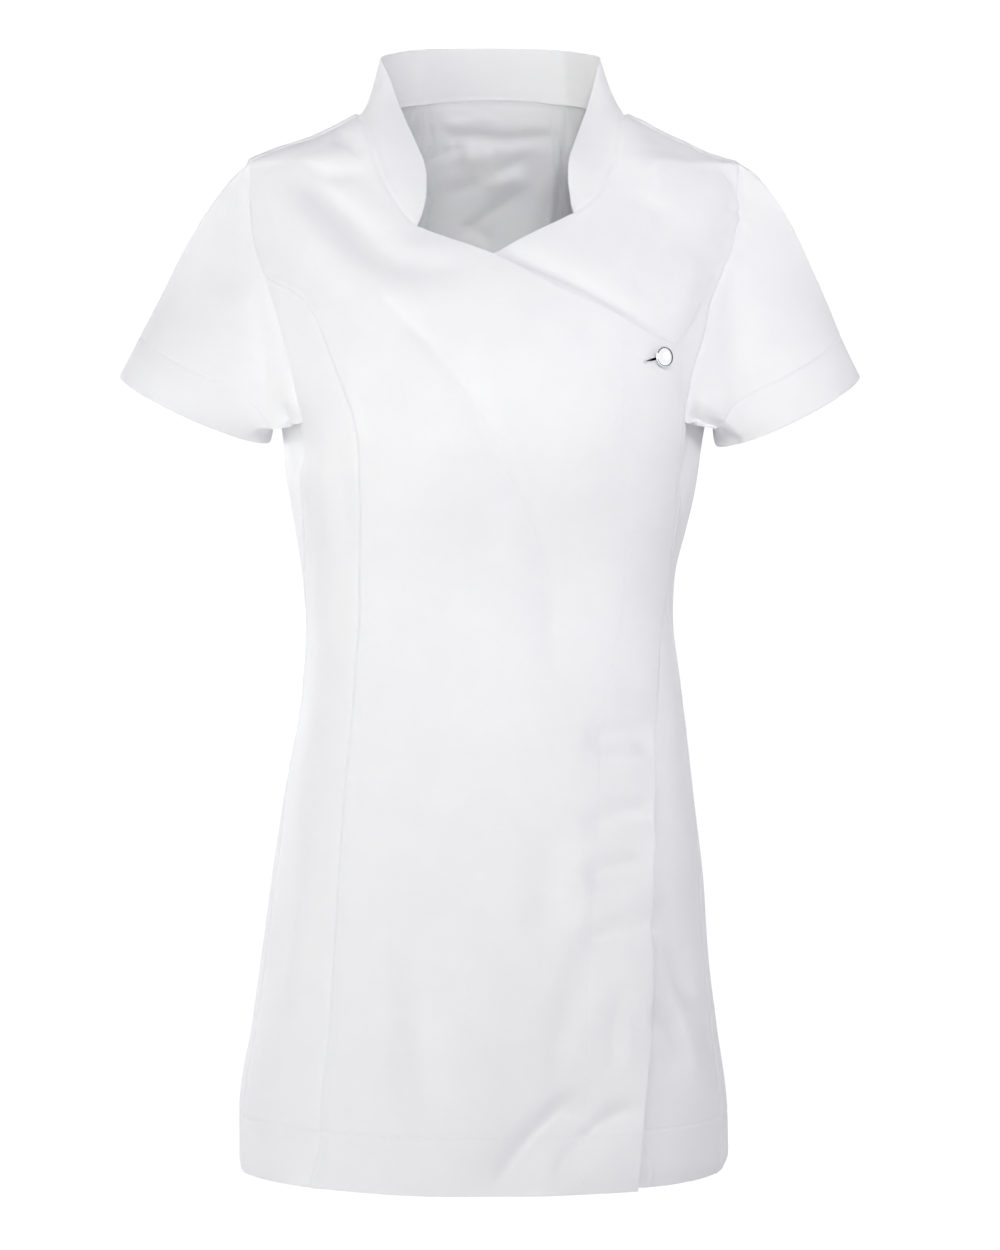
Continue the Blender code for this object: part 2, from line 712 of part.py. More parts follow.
def make_side_fronts():
    """Side fronts, ending in a point between the armhole and the princess seam."""
    outline = join_paths(side_seam_path(), lower_armhole_path())
    for side, seam_name in (("left", "left_across"), ("right", "right_across")):
        name = side + "_side_front"
        outer_path = outline if side == "left" else mirrored(outline)
        panel(name, patch(outer_path, front_princess_path(seam_name), SIDE_FRONT_COLUMNS))


def make_backs():
    """Centre back and the two side backs."""
    princess = back_princess_path()
    neck_curve = smooth_table(*zip(*BACK_NECK_BULGE))
    other_side = mirrored(princess)
    other_side[:, 0] -= 360.0
    panel("centre_back", patch(princess, other_side, CENTRE_BACK_COLUMNS, neck_curve))
    outline = join_paths(side_seam_path(), back_armhole_path())
    inner_path = join_paths(princess, back_neck_path())
    for side in ("left", "right"):
        name = side + "_side_back"
        outer_path = outline if side == "left" else mirrored(outline)
        seam_path = inner_path if side == "left" else mirrored(inner_path)
        panel(name, patch(outer_path, seam_path, SIDE_BACK_COLUMNS))


def armhole_loop(side):
    """The whole armhole of one side, down the front and up the back, with its normals."""
    down_front = join_paths(upper_armhole_path()[::-1], lower_armhole_path()[::-1])
    up_back = back_armhole_path()
    loop = join_paths(down_front, up_back)[:-1]
    if side == "right":
        loop = mirrored(loop)
    return cloth_point(loop[:, 0], loop[:, 1]), form_normal(loop[:, 0], loop[:, 1])


def sleeve_grid(side, rows):
    """Rings of a sleeve from the armhole to the hem, and their outward normals."""
    start, start_normal = armhole_loop(side)
    depth_share = (ARMHOLE_CENTRE[0] - start[:, 1]) / ARMHOLE_REACH[0]
    height_share = (start[:, 2] - ARMHOLE_CENTRE[1]) / ARMHOLE_REACH[1]
    turn = np.arctan2(depth_share, height_share)
    outward_x = np.array([1.0 if side == "left" else -1.0, 1.0, 1.0])
    centre = np.array(SLEEVE_HEM[side]["centre"]) * outward_x
    out = np.array(SLEEVE_HEM[side]["out"]) * outward_x
    front = np.array(SLEEVE_HEM[side]["front"])
    end = centre + np.cos(turn)[:, None] * out + np.sin(turn)[:, None] * front
    span = np.linalg.norm(end - start, axis=1, keepdims=True)
    leave = np.array(SLEEVE_HEM[side]["start"]) * outward_x
    arrive = np.array(SLEEVE_END) * outward_x
    rings = []
    for t in np.linspace(0.0, 1.0, rows + 1):
        ring = (1.0 + 2.0 * t) * (1.0 - t) ** 2 * start + t * (1.0 - t) ** 2 * span * leave
        ring = ring + t * t * (3.0 - 2.0 * t) * end + t * t * (t - 1.0) * span * arrive
        rings.append(ring)
    grid = np.array(rings)
    round_step = np.roll(grid, -1, axis=1) - np.roll(grid, 1, axis=1)
    down_step = np.gradient(grid, axis=0)
    normal = unit(np.cross(down_step, round_step))
    middle = grid.mean(axis=1, keepdims=True)
    outward = np.sign(((grid - middle) * normal).sum(axis=(1, 2), keepdims=True))
    normal = normal * outward
    agree = np.clip((normal[0] * start_normal).sum(axis=-1, keepdims=True), 0.0, 1.0)
    normal[0] = unit(normal[0] * (1.0 - agree) + start_normal * agree)
    grid[0] += square_step(grid[0], grid[1], closed=True) * SEAM_GAP
    return grid, normal


def make_sleeves():
    """Short set-in sleeves, hollow and open at the hem."""
    for side in ("left", "right"):
        name = side + "_sleeve"
        grid, normal = sleeve_grid(side, SLEEVE_ROWS)
        wall(name, grid, grid - CLOTH * normal, cloth_material(name), closed=True)


def collar_seam_points():
    """The collar seam from the centre back to each front end, as places on the form."""
    nape = np.vstack([pairs(NAPE, PATH_COLUMNS, "angle", "height"), back_princess_path()[-1]])
    centre = along_form(even_path(nape, FINE), CENTRE_BACK_COLUMNS // 2)
    round_back = join_paths(centre, back_neck_path())
    left_front = front_edge_path(LEFT_EDGE, LEFT_NECKLINE, LEFT_COLLAR_SEAM, 1.0)
    right_front = front_edge_path(RIGHT_EDGE, RIGHT_NECKLINE, RIGHT_COLLAR_SEAM, -1.0)
    left = join_paths(round_back, left_front[-COLLAR_ROWS - 1:][::-1])
    mirror_back = mirrored(round_back)
    mirror_back[:, 0] = np.where(mirror_back[:, 0] > 180.0, mirror_back[:, 0] - 360.0, mirror_back[:, 0])
    right = join_paths(mirror_back, right_front[-COLLAR_ROWS - 1:][::-1])
    return left, right


def collar_edge(share):
    """Free edge of the collar; share runs from -1 at the right end to 1 at the left one."""
    along = np.concatenate([
        -column(COLLAR_EDGE_RIGHT, COLLAR_COLUMNS, "along")[:0:-1],
        column(COLLAR_EDGE_LEFT, COLLAR_COLUMNS, "along"),
    ])
    places = []
    for name in COLLAR_COLUMNS[1:]:
        right = column(COLLAR_EDGE_RIGHT, COLLAR_COLUMNS, name)[:0:-1]
        left = column(COLLAR_EDGE_LEFT, COLLAR_COLUMNS, name)
        places.append(smooth_table(along, np.concatenate([right, left]))(share))
    return np.stack(places, axis=1)


def collar_half(seam, side):
    """Lower and upper edge of half the collar, from the centre back to an end."""
    base = cloth_point(seam[:, 0], seam[:, 1])
    lengths = np.linalg.norm(np.diff(base, axis=0), axis=1)
    passed = np.concatenate(([0.0], np.cumsum(lengths)))
    return base, collar_edge(side * passed / passed[-1])


def make_collar():
    """Stand collar: one strip, full height at the back, rounded at its front ends."""
    left_seam, right_seam = collar_seam_points()
    left_base, left_top = collar_half(left_seam, 1.0)
    right_base, right_top = collar_half(right_seam, -1.0)
    base = join_paths(right_base[::-1], left_base)
    top = join_paths(right_top[::-1], left_top)
    rise = top - base
    foot = base + unit(rise) * COLLAR_FOOT
    share = np.linspace(0.0, 1.0, COLLAR_HEIGHT_ROWS + 1)[:, None, None]
    grid = foot[None] * (1.0 - share) + top[None] * share
    along = np.gradient(grid, axis=1)
    inward = unit(np.cross(along, np.broadcast_to(rise, grid.shape)))
    facing = np.sign(((grid.mean(axis=(0, 1)) - grid) * inward).sum(axis=-1).mean())
    wall("collar", grid, grid + COLLAR_CLOTH * facing * inward, cloth_material("collar"))


def button_frame():
    """A matrix at the buttonhole: Z out of the cloth, X across towards the front edge."""
    angle = angle_at(BUTTON_ACROSS, BUTTON_HEIGHT)
    at = cloth_point(np.array([angle]), np.array([BUTTON_HEIGHT]))[0]
    normal = form_normal(np.array([angle]), np.array([BUTTON_HEIGHT]))[0]
    out = Vector(normal)
    across = Vector((0.0, 0.0, 1.0)).cross(out)
    across.normalize()
    if across.x < 0.0:
        across.negate()
    up = out.cross(across)
    turn = Matrix((across, up, out)).transposed().to_4x4()
    return Matrix.Translation(Vector(at) * MM) @ turn


def make_button():
    """A domed disc with a rim on a round shank, turned as one piece."""
    underside = LAYER_LIFT + SEAM_GAP
    foot = SHANK_CLEARANCE
    profile = (
        (0.0, foot),
        (SHANK_RADIUS, foot),
        (SHANK_RADIUS, underside),
        (BUTTON_RADIUS - RIM_ROUND, underside),
        (BUTTON_RADIUS, underside + RIM_ROUND),
        (BUTTON_RADIUS, underside + BUTTON_RIM - RIM_ROUND),
        (BUTTON_RADIUS - RIM_ROUND, underside + BUTTON_RIM),
        (BUTTON_RADIUS - RIM_DIP, underside + BUTTON_RIM - RIM_ROUND / 2.0),
        (BUTTON_RADIUS * DOME_SHOULDER, underside + BUTTON_DOME - RIM_ROUND),
        (0.0, underside + BUTTON_DOME),
    )
    mesh = bpy.data.meshes.new("button")
    made = bmesh.new()
    verts = [made.verts.new((radius * MM, 0.0, height * MM)) for radius, height in profile]
    edges = [made.edges.new(pair) for pair in zip(verts, verts[1:])]
    bmesh.ops.spin(made, geom=verts + edges, cent=(0.0, 0.0, 0.0), axis=(0.0, 0.0, 1.0),
                   angle=2.0 * math.pi, steps=BUTTON_SIDES, use_duplicate=False)
    bmesh.ops.remove_doubles(made, verts=made.verts, dist=0.00001)
    bmesh.ops.recalc_face_normals(made, faces=made.faces)
    made.to_mesh(mesh)
    made.free()
    mesh.materials.append(make_material("button_metal", POLISHED_METAL, METAL_ROUGHNESS, 1.0))
    mesh.shade_smooth()
    mesh.set_sharp_from_angle(angle=math.radians(BUTTON_EDGE_ANGLE))
    button = bpy.data.objects.new("button", mesh)
    button.matrix_world = button_frame()
    bpy.context.scene.collection.objects.link(button)


def cut_buttonhole():
    """A slit with a round end for the shank, cut through the right front."""
    around = SHANK_RADIUS + SHANK_ROOM
    outline = []
    for k in range(BUTTONHOLE_ARC_STEPS + 1):
        turn = math.radians(BUTTONHOLE_ARC * (2.0 * k / BUTTONHOLE_ARC_STEPS - 1.0))
        outline.append((around * math.cos(turn), around * math.sin(turn)))
    outline.append((-BUTTONHOLE_LENGTH, BUTTONHOLE_HALF_WIDTH))
    outline.append((-BUTTONHOLE_LENGTH, -BUTTONHOLE_HALF_WIDTH))
    count = len(outline)
    ends = (-BUTTONHOLE_CUT_DEPTH, BUTTONHOLE_CUT_DEPTH)
    vertices = [(x, y, z) for z in ends for x, y in outline]
    faces = [tuple(range(count - 1, -1, -1)), tuple(range(count, 2 * count))]
    for k in range(count):
        following = (k + 1) % count
        faces.append((k, following, count + following, count + k))
    cutter = mesh_object("buttonhole_cutter", vertices, faces, cloth_material("cutter"))
    cutter.matrix_world = button_frame()
    cutter.hide_render = True
    cutter.display_type = "WIRE"
    hole = bpy.data.objects["right_front"].modifiers.new("buttonhole", "BOOLEAN")
    hole.operation = "DIFFERENCE"
    hole.solver = "EXACT"
    hole.object = cutter


def main():
    for thing in list(bpy.data.objects):
        bpy.data.objects.remove(thing, do_unlink=True)
    make_fronts()
    make_side_fronts()
    make_backs()
    make_sleeves()
    make_collar()
    make_button()
    cut_buttonhole()


main()
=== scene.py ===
# %% [markdown]
# # A white beautician tunic, dressed in Blender
# The tunic is worn-shaped but nobody is in it, so every panel is a thin sheet of cloth that
# keeps the body's form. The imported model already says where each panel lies. This file makes
# the cloth itself on the same form: creases, seams, hems, stitches and the metal button.

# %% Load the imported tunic
import math
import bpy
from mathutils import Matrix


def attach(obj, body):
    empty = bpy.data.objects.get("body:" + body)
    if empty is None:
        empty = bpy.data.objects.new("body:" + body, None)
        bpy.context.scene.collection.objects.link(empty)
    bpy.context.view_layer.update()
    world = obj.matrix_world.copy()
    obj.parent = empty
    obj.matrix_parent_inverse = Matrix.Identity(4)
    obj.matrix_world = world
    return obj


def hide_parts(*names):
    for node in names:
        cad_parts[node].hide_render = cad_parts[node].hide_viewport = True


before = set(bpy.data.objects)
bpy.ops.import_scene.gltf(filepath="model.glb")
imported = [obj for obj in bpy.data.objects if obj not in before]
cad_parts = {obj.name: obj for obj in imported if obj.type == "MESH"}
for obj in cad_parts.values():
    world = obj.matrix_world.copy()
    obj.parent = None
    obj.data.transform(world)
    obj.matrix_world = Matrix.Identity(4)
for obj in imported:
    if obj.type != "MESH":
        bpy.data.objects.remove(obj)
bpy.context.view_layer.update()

from types import SimpleNamespace

import bmesh
import bpy
import numpy as np
from mathutils import Vector, kdtree

MM = 0.001
print("packed pieces:", sorted(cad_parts))

# %% [markdown]
# ## Camera, light and ground
# The photograph is taken straight from the front with a long lens, level with the waist. A
# long lens keeps the sides of the tunic parallel. White cloth on white needs an even light
# all round, from broad lamps in front and at both sides, so that folds show as small
# differences of grey. The left side gets more than the right one, and a narrow lamp adds
# a little on the shoulders and chest. The ground lies where the floor is under a standing
# wearer. The background and all finishes are made of nodes, and a few helpers keep their
# lines short.

# %% Camera
CAMERA_PLACE = (0.007, -2.8, -0.367)
LENS = 112.0
SENSOR = 36.0


def add_object(name, data):
    """A new object with this mesh, lamp or camera, put in the scene."""
    thing = bpy.data.objects.new(name, data)
    bpy.context.scene.collection.objects.link(thing)
    return thing


camera_data = bpy.data.cameras.new("camera")
camera_data.lens = LENS
camera_data.sensor_width = SENSOR
camera = add_object("camera", camera_data)
camera.location = CAMERA_PLACE
camera.rotation_euler = (math.radians(90.0), 0.0, 0.0)
bpy.context.scene.camera = camera
print("camera at", CAMERA_PLACE, "with a lens of", LENS, "mm")


# %% Nodes in short
def give(tree, socket, given):
    """Gives an input a value, or links another node's output to it."""
    if isinstance(given, bpy.types.NodeSocket):
        tree.links.new(given, socket)
    else:
        socket.default_value = given


def feed(tree, made, **inputs):
    """Gives inputs of a node by their names."""
    for label, given in inputs.items():
        give(tree, made.inputs[label.replace("_", " ")], given)
    return made


def node(tree, kind, **inputs):
    """A new node with some of its inputs given."""
    return feed(tree, tree.nodes.new(kind), **inputs)


def maths(tree, operation, *given):
    """A math node on one or two values or outputs; gives its own output."""
    made = tree.nodes.new("ShaderNodeMath")
    made.operation = operation
    for socket, value in zip(made.inputs, given):
        give(tree, socket, value)
    return made.outputs[0]


def seen_or_mirrored(tree):
    """1 for what the camera sees directly or mirrored in polished metal, otherwise 0."""
    ray = tree.nodes.new("ShaderNodeLightPath")
    return maths(tree, "MAXIMUM", ray.outputs["Is Camera Ray"], ray.outputs["Is Glossy Ray"])


def new_finish(name):
    """A new material, its node tree and its shader."""
    material = bpy.data.materials.new(name)
    material.use_nodes = True
    return material, material.node_tree, material.node_tree.nodes["Principled BSDF"]


print("nodes are fed by the names of their inputs")

# %% Light
VIEW_TRANSFORM = "Standard"
AMBIENT_COLOUR = (0.90, 0.89, 1.0)
AMBIENT_STRENGTH = 0.365
BACKDROP_STRENGTH = 1.05
LIGHTS = (                  # name, place, aim, size, watts, colour, spread in degrees
    ("front", (0.0, -3.8, -0.1), (0.0, 0.0, -0.40), 1.2, 28.2, (1.0, 1.0, 0.99), 180.0),
    ("low left", (-2.3, -2.5, -1.0), (0.0, 0.0, -0.40), 1.2, 19.0, (0.98, 1.0, 0.84), 180.0),
    ("left side", (-3.4, -0.8, -0.2), (0.0, 0.0, -0.35), 1.2, 18.0, (0.99, 0.99, 0.98), 180.0),
    ("right side", (3.3, -0.8, 0.45), (0.0, 0.0, -0.30), 1.2, 19.5, (1.0, 1.0, 0.96), 180.0),
    ("behind", (-2.2, 2.4, -0.1), (0.0, 0.0, -0.35), 1.4, 19.0, (0.98, 0.98, 1.0), 180.0),
    ("upper front", (0.5, -3.1, 0.9), (0.10, 0.0, -0.07), 0.8, 0.88, (1.0, 1.0, 0.99), 28.0),
)

bpy.context.scene.view_settings.view_transform = VIEW_TRANSFORM
world = bpy.data.worlds.new("studio")
world.use_nodes = True
bpy.context.scene.world = world
world_tree = world.node_tree
ambient = world_tree.nodes["Background"]
feed(world_tree, ambient, Color=(*AMBIENT_COLOUR, 1.0), Strength=AMBIENT_STRENGTH)
backdrop = node(world_tree, "ShaderNodeBackground", Color=(1.0, 1.0, 1.0, 1.0), Strength=BACKDROP_STRENGTH)
choose = node(world_tree, "ShaderNodeMixShader", Fac=seen_or_mirrored(world_tree))
world_tree.links.new(ambient.outputs["Background"], choose.inputs[1])
world_tree.links.new(backdrop.outputs["Background"], choose.inputs[2])
feed(world_tree, world_tree.nodes["World Output"], Surface=choose.outputs["Shader"])

for name, place, aim, size, watts, colour, spread in LIGHTS:
    data = bpy.data.lights.new(name, "AREA")
    data.shape = "DISK"
    data.size = size
    data.energy = watts
    data.color = colour
    data.spread = math.radians(spread)
    light = add_object(name, data)
    light.location = place
    light.rotation_euler = (Vector(aim) - Vector(place)).to_track_quat("-Z", "Y").to_euler()
print(len(LIGHTS), "soft lights and an even ambient light")

# %% Ground
GROUND_HEIGHT = -1.40
GROUND_REACH = 60.0
GROUND_COLOUR = (0.72, 0.72, 0.74)
GROUND_GLOW = 0.75          # where the camera or polished metal sees it, so that it lights nothing

corners = [(x * GROUND_REACH, y * GROUND_REACH, GROUND_HEIGHT)
           for x, y in ((-1, -1), (1, -1), (1, 1), (-1, 1))]
ground_mesh = bpy.data.meshes.new("ground")
ground_mesh.from_pydata(corners, [], [(0, 1, 2, 3)])
ground = add_object("ground", ground_mesh)
ground_finish, ground_tree, ground_shader = new_finish("pale_ground")
glow = maths(ground_tree, "MULTIPLY", seen_or_mirrored(ground_tree), GROUND_GLOW)
feed(ground_tree, ground_shader, Base_Color=(*GROUND_COLOUR, 1.0), Roughness=0.9,
     Emission_Color=(1.0, 1.0, 1.0, 1.0), Emission_Strength=glow)
ground_mesh.materials.append(ground_finish)
print("ground", GROUND_HEIGHT, "m below the shoulders")
# %% [markdown]
# ## Finishes
# The cloth is a plain-woven white polyester with a soft sheen. Its yarns are far too fine to
# model, so two crossed waves on the cloth's own UV map, which is in metres along and across
# each panel, lift the surface a little. Slow noise changes the tint and the roughness, as
# pressing and handling do. The button is polished metal with the fine scratches of handling;
# its groove, underside and shank foot are painted dark: painted shade and painted reflection.

# %% Cloth finish
WEAVE_PITCH = 0.00042
WEAVE_DEPTH = 0.00004
CLOTH_PALE = (0.925, 0.925, 0.928)
CLOTH_GREY = (0.908, 0.908, 0.915)
CLOTH_SHEEN = 0.25
TINT_SCALE = 26.0
TINT_ENDS = (0.35, 0.65)
HANDLING_SCALE = 85.0
HANDLING_DEPTH = 0.0005


def ramp(tree, factor, low, high, ends=(0.0, 1.0)):
    """A colour that changes from low to high while the factor passes from end to end."""
    made = node(tree, "ShaderNodeValToRGB", Fac=factor)
    for element, place, colour in zip(made.color_ramp.elements, ends, (low, high)):
        element.position = place
        element.color = (*colour, 1.0)
    return made.outputs["Color"]


def relief(tree, height, strength, distance, **under):
    """A bump from a height, on top of the normal of another one where it is given."""
    made = node(tree, "ShaderNodeBump", Height=height, Strength=strength, Distance=distance, **under)
    return made.outputs["Normal"]


def cloth_finish(name):
    """Woven cloth with a sheen: yarns on its own map, a slow tint and the marks of handling."""
    material, tree, shader = new_finish(name)
    own_map = tree.nodes.new("ShaderNodeUVMap")
    own_map.uv_map = "cloth"
    split = node(tree, "ShaderNodeSeparateXYZ", Vector=own_map.outputs["UV"])
    turn = 2.0 * math.pi / WEAVE_PITCH
    warp, weft = [maths(tree, "SINE", maths(tree, "MULTIPLY", split.outputs[way], turn)) for way in "XY"]
    place = tree.nodes.new("ShaderNodeTexCoord").outputs["Object"]
    slow = node(tree, "ShaderNodeTexNoise", Vector=place, Scale=TINT_SCALE, Detail=3.0, Roughness=0.5)
    handled = node(tree, "ShaderNodeTexNoise", Vector=place, Scale=HANDLING_SCALE, Detail=4.0, Roughness=0.55)
    wear = node(tree, "ShaderNodeMapRange", Value=slow.outputs["Fac"], To_Min=0.42, To_Max=0.58)
    soft = relief(tree, handled.outputs["Fac"], 0.25, HANDLING_DEPTH)
    yarns = relief(tree, maths(tree, "MULTIPLY", warp, weft), 0.35, WEAVE_DEPTH, Normal=soft)
    feed(tree, shader, Base_Color=ramp(tree, slow.outputs["Fac"], CLOTH_GREY, CLOTH_PALE, TINT_ENDS),
         Roughness=wear.outputs["Result"], Specular_IOR_Level=0.35, Sheen_Weight=CLOTH_SHEEN,
         Sheen_Roughness=0.45, Normal=yarns)
    return material


white_cloth = cloth_finish("white_cloth")
print("weave pitch", WEAVE_PITCH * 1000.0, "mm")

# %% Thread and metal finishes
TWIST_SCALE = 71.42857
THREAD_COLOURS = ((0.80, 0.80, 0.83), (0.92, 0.92, 0.94))
METAL_COLOURS = ((0.80, 0.80, 0.82), (0.93, 0.93, 0.94))
PAINTED_SHADE_COLOUR = (0.05, 0.05, 0.06)      # painted shade and painted reflection, for the groove, the underside and the shank's foot
SCRATCH_SCALE = 900.0
SCRATCH_DEPTH = 0.00005


def thread_finish(name):
    """White sewing thread: slanted bands of lighter and darker thread run over the stitches."""
    material, tree, shader = new_finish(name)
    place = tree.nodes.new("ShaderNodeTexCoord").outputs["Object"]
    twist = node(tree, "ShaderNodeTexWave", Vector=place, Scale=TWIST_SCALE, Distortion=1.5)
    twist.bands_direction = "DIAGONAL"
    wear = node(tree, "ShaderNodeMapRange", Value=twist.outputs["Fac"], To_Min=0.4, To_Max=0.6)
    feed(tree, shader, Base_Color=ramp(tree, twist.outputs["Color"], *THREAD_COLOURS),
         Roughness=wear.outputs["Result"], Sheen_Weight=0.3)
    return material


def metal_finish(name):
    """Polished silver-coloured metal with fine scratches, with painted shade and painted reflection where
    "groove" is 1.
    """
    material, tree, shader = new_finish(name)
    place = tree.nodes.new("ShaderNodeTexCoord").outputs["Object"]
    scratches = node(tree, "ShaderNodeTexNoise", Vector=place, Scale=SCRATCH_SCALE, Detail=4.0).outputs["Fac"]
    # the attribute "groove" mixes in the dark colour: painted shade and painted reflection
    groove = tree.nodes.new("ShaderNodeAttribute")
    groove.attribute_name = "groove"
    darkened = tree.nodes.new("ShaderNodeMix")
    darkened.data_type = "RGBA"
    ends = {socket.identifier: socket for socket in (*darkened.inputs, *darkened.outputs)}
    ends["B_Color"].default_value = (*PAINTED_SHADE_COLOUR, 1.0)
    tree.links.new(groove.outputs["Fac"], ends["Factor_Float"])
    tree.links.new(ramp(tree, scratches, *METAL_COLOURS), ends["A_Color"])
    wear = node(tree, "ShaderNodeMapRange", Value=scratches, To_Min=0.07, To_Max=0.16)
    feed(tree, shader, Base_Color=ends["Result_Color"], Metallic=1.0, Roughness=wear.outputs["Result"],
         Normal=relief(tree, scratches, 0.1, SCRATCH_DEPTH))
    return material


white_thread = thread_finish("white_thread")
button_metal = metal_finish("polished_metal")
print("finishes:", [m.name for m in (white_cloth, white_thread, button_metal)])
# %% [markdown]
# ## The body form
# A dressmaker shapes cloth on a stand. Here the stand is a rule: at each height the body is
# a rounded section, wider than it is deep, and a place on it is an angle round the body and
# a height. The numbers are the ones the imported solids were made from, so the cloth lies
# where they lie, only with many more points.

# %% Sections and seams, in millimetres
HEM_HEIGHT = -756.5
HEM_DROP = 5.0
SECTION_COLUMNS = ("height", "half_width", "front", "back", "shift", "squareness")
SECTIONS = (
    (-762.0, 171.5, 118.0, 121.0, -7.0, 2.15),
    (-757.0, 173.0, 118.0, 121.5, -6.5, 2.15),
    (-745.0, 176.0, 117.5, 122.0, -5.0, 2.15),
    (-720.0, 176.0, 116.0, 122.0, -5.0, 2.15),
    (-650.0, 166.5, 112.0, 120.0, -4.5, 2.15),
    (-580.0, 158.0, 108.0, 115.0, -3.0, 2.20),
    (-512.0, 151.0, 104.0, 108.0, -1.5, 2.20),
    (-444.0, 140.0, 98.0, 94.0, 0.5, 2.25),
    (-410.0, 135.4, 94.0, 84.0, 0.7, 2.25),
    (-366.0, 131.8, 92.0, 78.0, 0.0, 2.25),
    (-332.0, 134.0, 96.0, 79.0, -0.6, 2.30),
    (-297.0, 140.8, 105.0, 83.0, 0.4, 2.30),
    (-262.0, 148.0, 115.0, 88.0, 1.5, 2.30),
    (-228.0, 152.0, 121.0, 93.0, 2.0, 2.30),
    (-195.0, 158.0, 121.0, 97.0, 2.0, 2.30),
    (-160.0, 166.0, 113.0, 99.0, 2.0, 2.30),
    (-125.0, 172.0, 99.0, 98.0, 2.0, 2.30),
    (-95.0, 177.0, 82.0, 93.0, 2.5, 2.30),
    (-60.0, 179.5, 62.0, 83.0, 3.0, 2.30),
    (-37.0, 179.0, 50.0, 72.0, 2.5, 2.30),
    (-33.0, 171.5, 48.5, 70.5, -1.5, 2.30),
    (-29.0, 160.5, 47.0, 69.0, -3.0, 2.30),
    (-24.0, 148.0, 45.5, 67.0, -1.0, 2.30),
    (-20.0, 137.0, 44.0, 65.0, 1.4, 2.30),
    (-12.0, 118.5, 42.5, 62.5, 2.5, 2.30),
    (-6.0, 106.5, 41.0, 61.0, 2.3, 2.30),
    (0.0, 94.5, 40.0, 59.5, 2.0, 2.30),
    (20.0, 69.0, 36.0, 57.0, 0.0, 2.30),
)
SHOULDER_ANGLE = 14.0
SHOULDER_HEIGHT = -36.0
UNDERARM_ANGLE = 30.0
UNDERARM_HEIGHT = -224.0
SIDE_SEAM = (               # height, angle
    (HEM_HEIGHT, 18.0),
    (-640.0, 17.0),
    (-500.0, 13.0),
    (-400.0, 9.0),
    (-349.0, 13.0),
    (-310.0, 22.0),
    (-270.0, 28.0),
    (UNDERARM_HEIGHT, UNDERARM_ANGLE),
)
ARMHOLE_FRONT = (           # height, angle
    (UNDERARM_HEIGHT, UNDERARM_ANGLE),
    (-210.0, 31.5),
    (-195.0, 31.4),
    (-160.0, 29.2),
    (-125.0, 25.0),
    (-95.0, 19.0),
    (-60.0, 15.0),
    (SHOULDER_HEIGHT, SHOULDER_ANGLE),
)
ARMHOLE_BACK = (            # height, angle
    (UNDERARM_HEIGHT, UNDERARM_ANGLE),
    (-222.0, 20.0),
    (-217.0, 8.0),
    (-208.0, -5.0),
    (-194.0, -16.0),
    (-172.0, -23.5),
    (-145.0, -26.0),
    (-112.0, -23.0),
    (-80.0, -16.0),
    (-52.0, -6.0),
    (SHOULDER_HEIGHT, SHOULDER_ANGLE),
)
PRINCESS_FRONT = (          # height, x of the right seam, x of the left seam
    (HEM_HEIGHT, -126.5, 113.0),
    (-718.0, -119.0, 109.0),
    (-620.0, -110.8, 103.0),
    (-517.0, -105.0, 102.0),
    (-487.0, -102.8, 100.5),
    (-400.0, -95.5, 95.0),
    (-342.0, -92.1, 92.0),
    (-246.0, -92.2, 95.0),
    (-221.0, -96.3, 101.0),
    (-186.0, -109.1, 121.0),
    (-155.0, -121.4, 143.5),
    (-136.0, -135.6, 153.5),
)
PRINCESS_TOP = -121.0
JUNCTION_REACH = 5.0
SIDE_FRONT_TIP = 0.975
BUST_LEVEL = -221.0
PRINCESS_BACK = (           # x, height
    (92.0, HEM_HEIGHT),
    (80.0, -600.0),
    (68.0, -480.0),
    (56.0, -370.0),
    (62.0, -250.0),
    (64.0, -120.0),
    (58.0, -40.0),
    (53.0, 13.5),
)
BACK_NECK = (               # height, angle
    (7.0, -26.0),
    (1.5, -4.0),
    (0.0, SHOULDER_ANGLE),
)
BACK_NECK_BULGE = ((0.0, 0.0), (0.25, 3.9), (0.5, 5.0), (0.75, 3.9), (1.0, 0.0))
TOP_BULGE_POWER = 6
print(len(SECTIONS), "sections from hem to neck")

# %% Front edges, neckline and collar edge
RIGHT_EDGE = (              # x, height
    (101.5, HEM_HEIGHT),
    (104.0, -720.0),
    (107.5, -680.0),
    (112.5, -632.0),
    (111.6, -572.0),
    (112.7, -501.0),
    (113.4, -467.0),
    (116.7, -428.0),
    (120.7, -392.0),
    (124.4, -355.0),
    (126.9, -311.0),
    (129.9, -279.0),
    (131.1, -246.0),
    (132.4, -214.0),
    (133.7, -173.0),
)
RIGHT_NECKLINE = (
    (133.7, -173.0),
    (108.5, -162.5),
    (79.7, -146.7),
    (47.2, -131.6),
    (0.0, -107.5),
    (-30.0, -96.0),
    (-51.5, -87.2),
)
RIGHT_COLLAR_SEAM = (
    (-51.5, -87.2),
    (-58.0, -81.0),
    (-65.4, -70.5),
    (-72.8, -58.4),
    (-78.7, -45.7),
    (-86.4, -21.6),
    (-90.0, -9.0),
)
LEFT_EDGE = ((-64.0, HEM_HEIGHT), (-64.0, -450.0), (-64.0, -133.0))
LEFT_NECKLINE = (
    (-64.0, -133.0),
    (-30.0, -120.5),
    (0.0, -107.5),
    (27.0, -94.0),
    (58.8, -77.6),
)
LEFT_COLLAR_SEAM = (
    (58.8, -77.6),
    (71.1, -68.5),
    (79.8, -57.6),
    (85.9, -45.7),
    (90.5, -31.6),
    (92.5, -15.0),
    (91.8, -6.0),
)
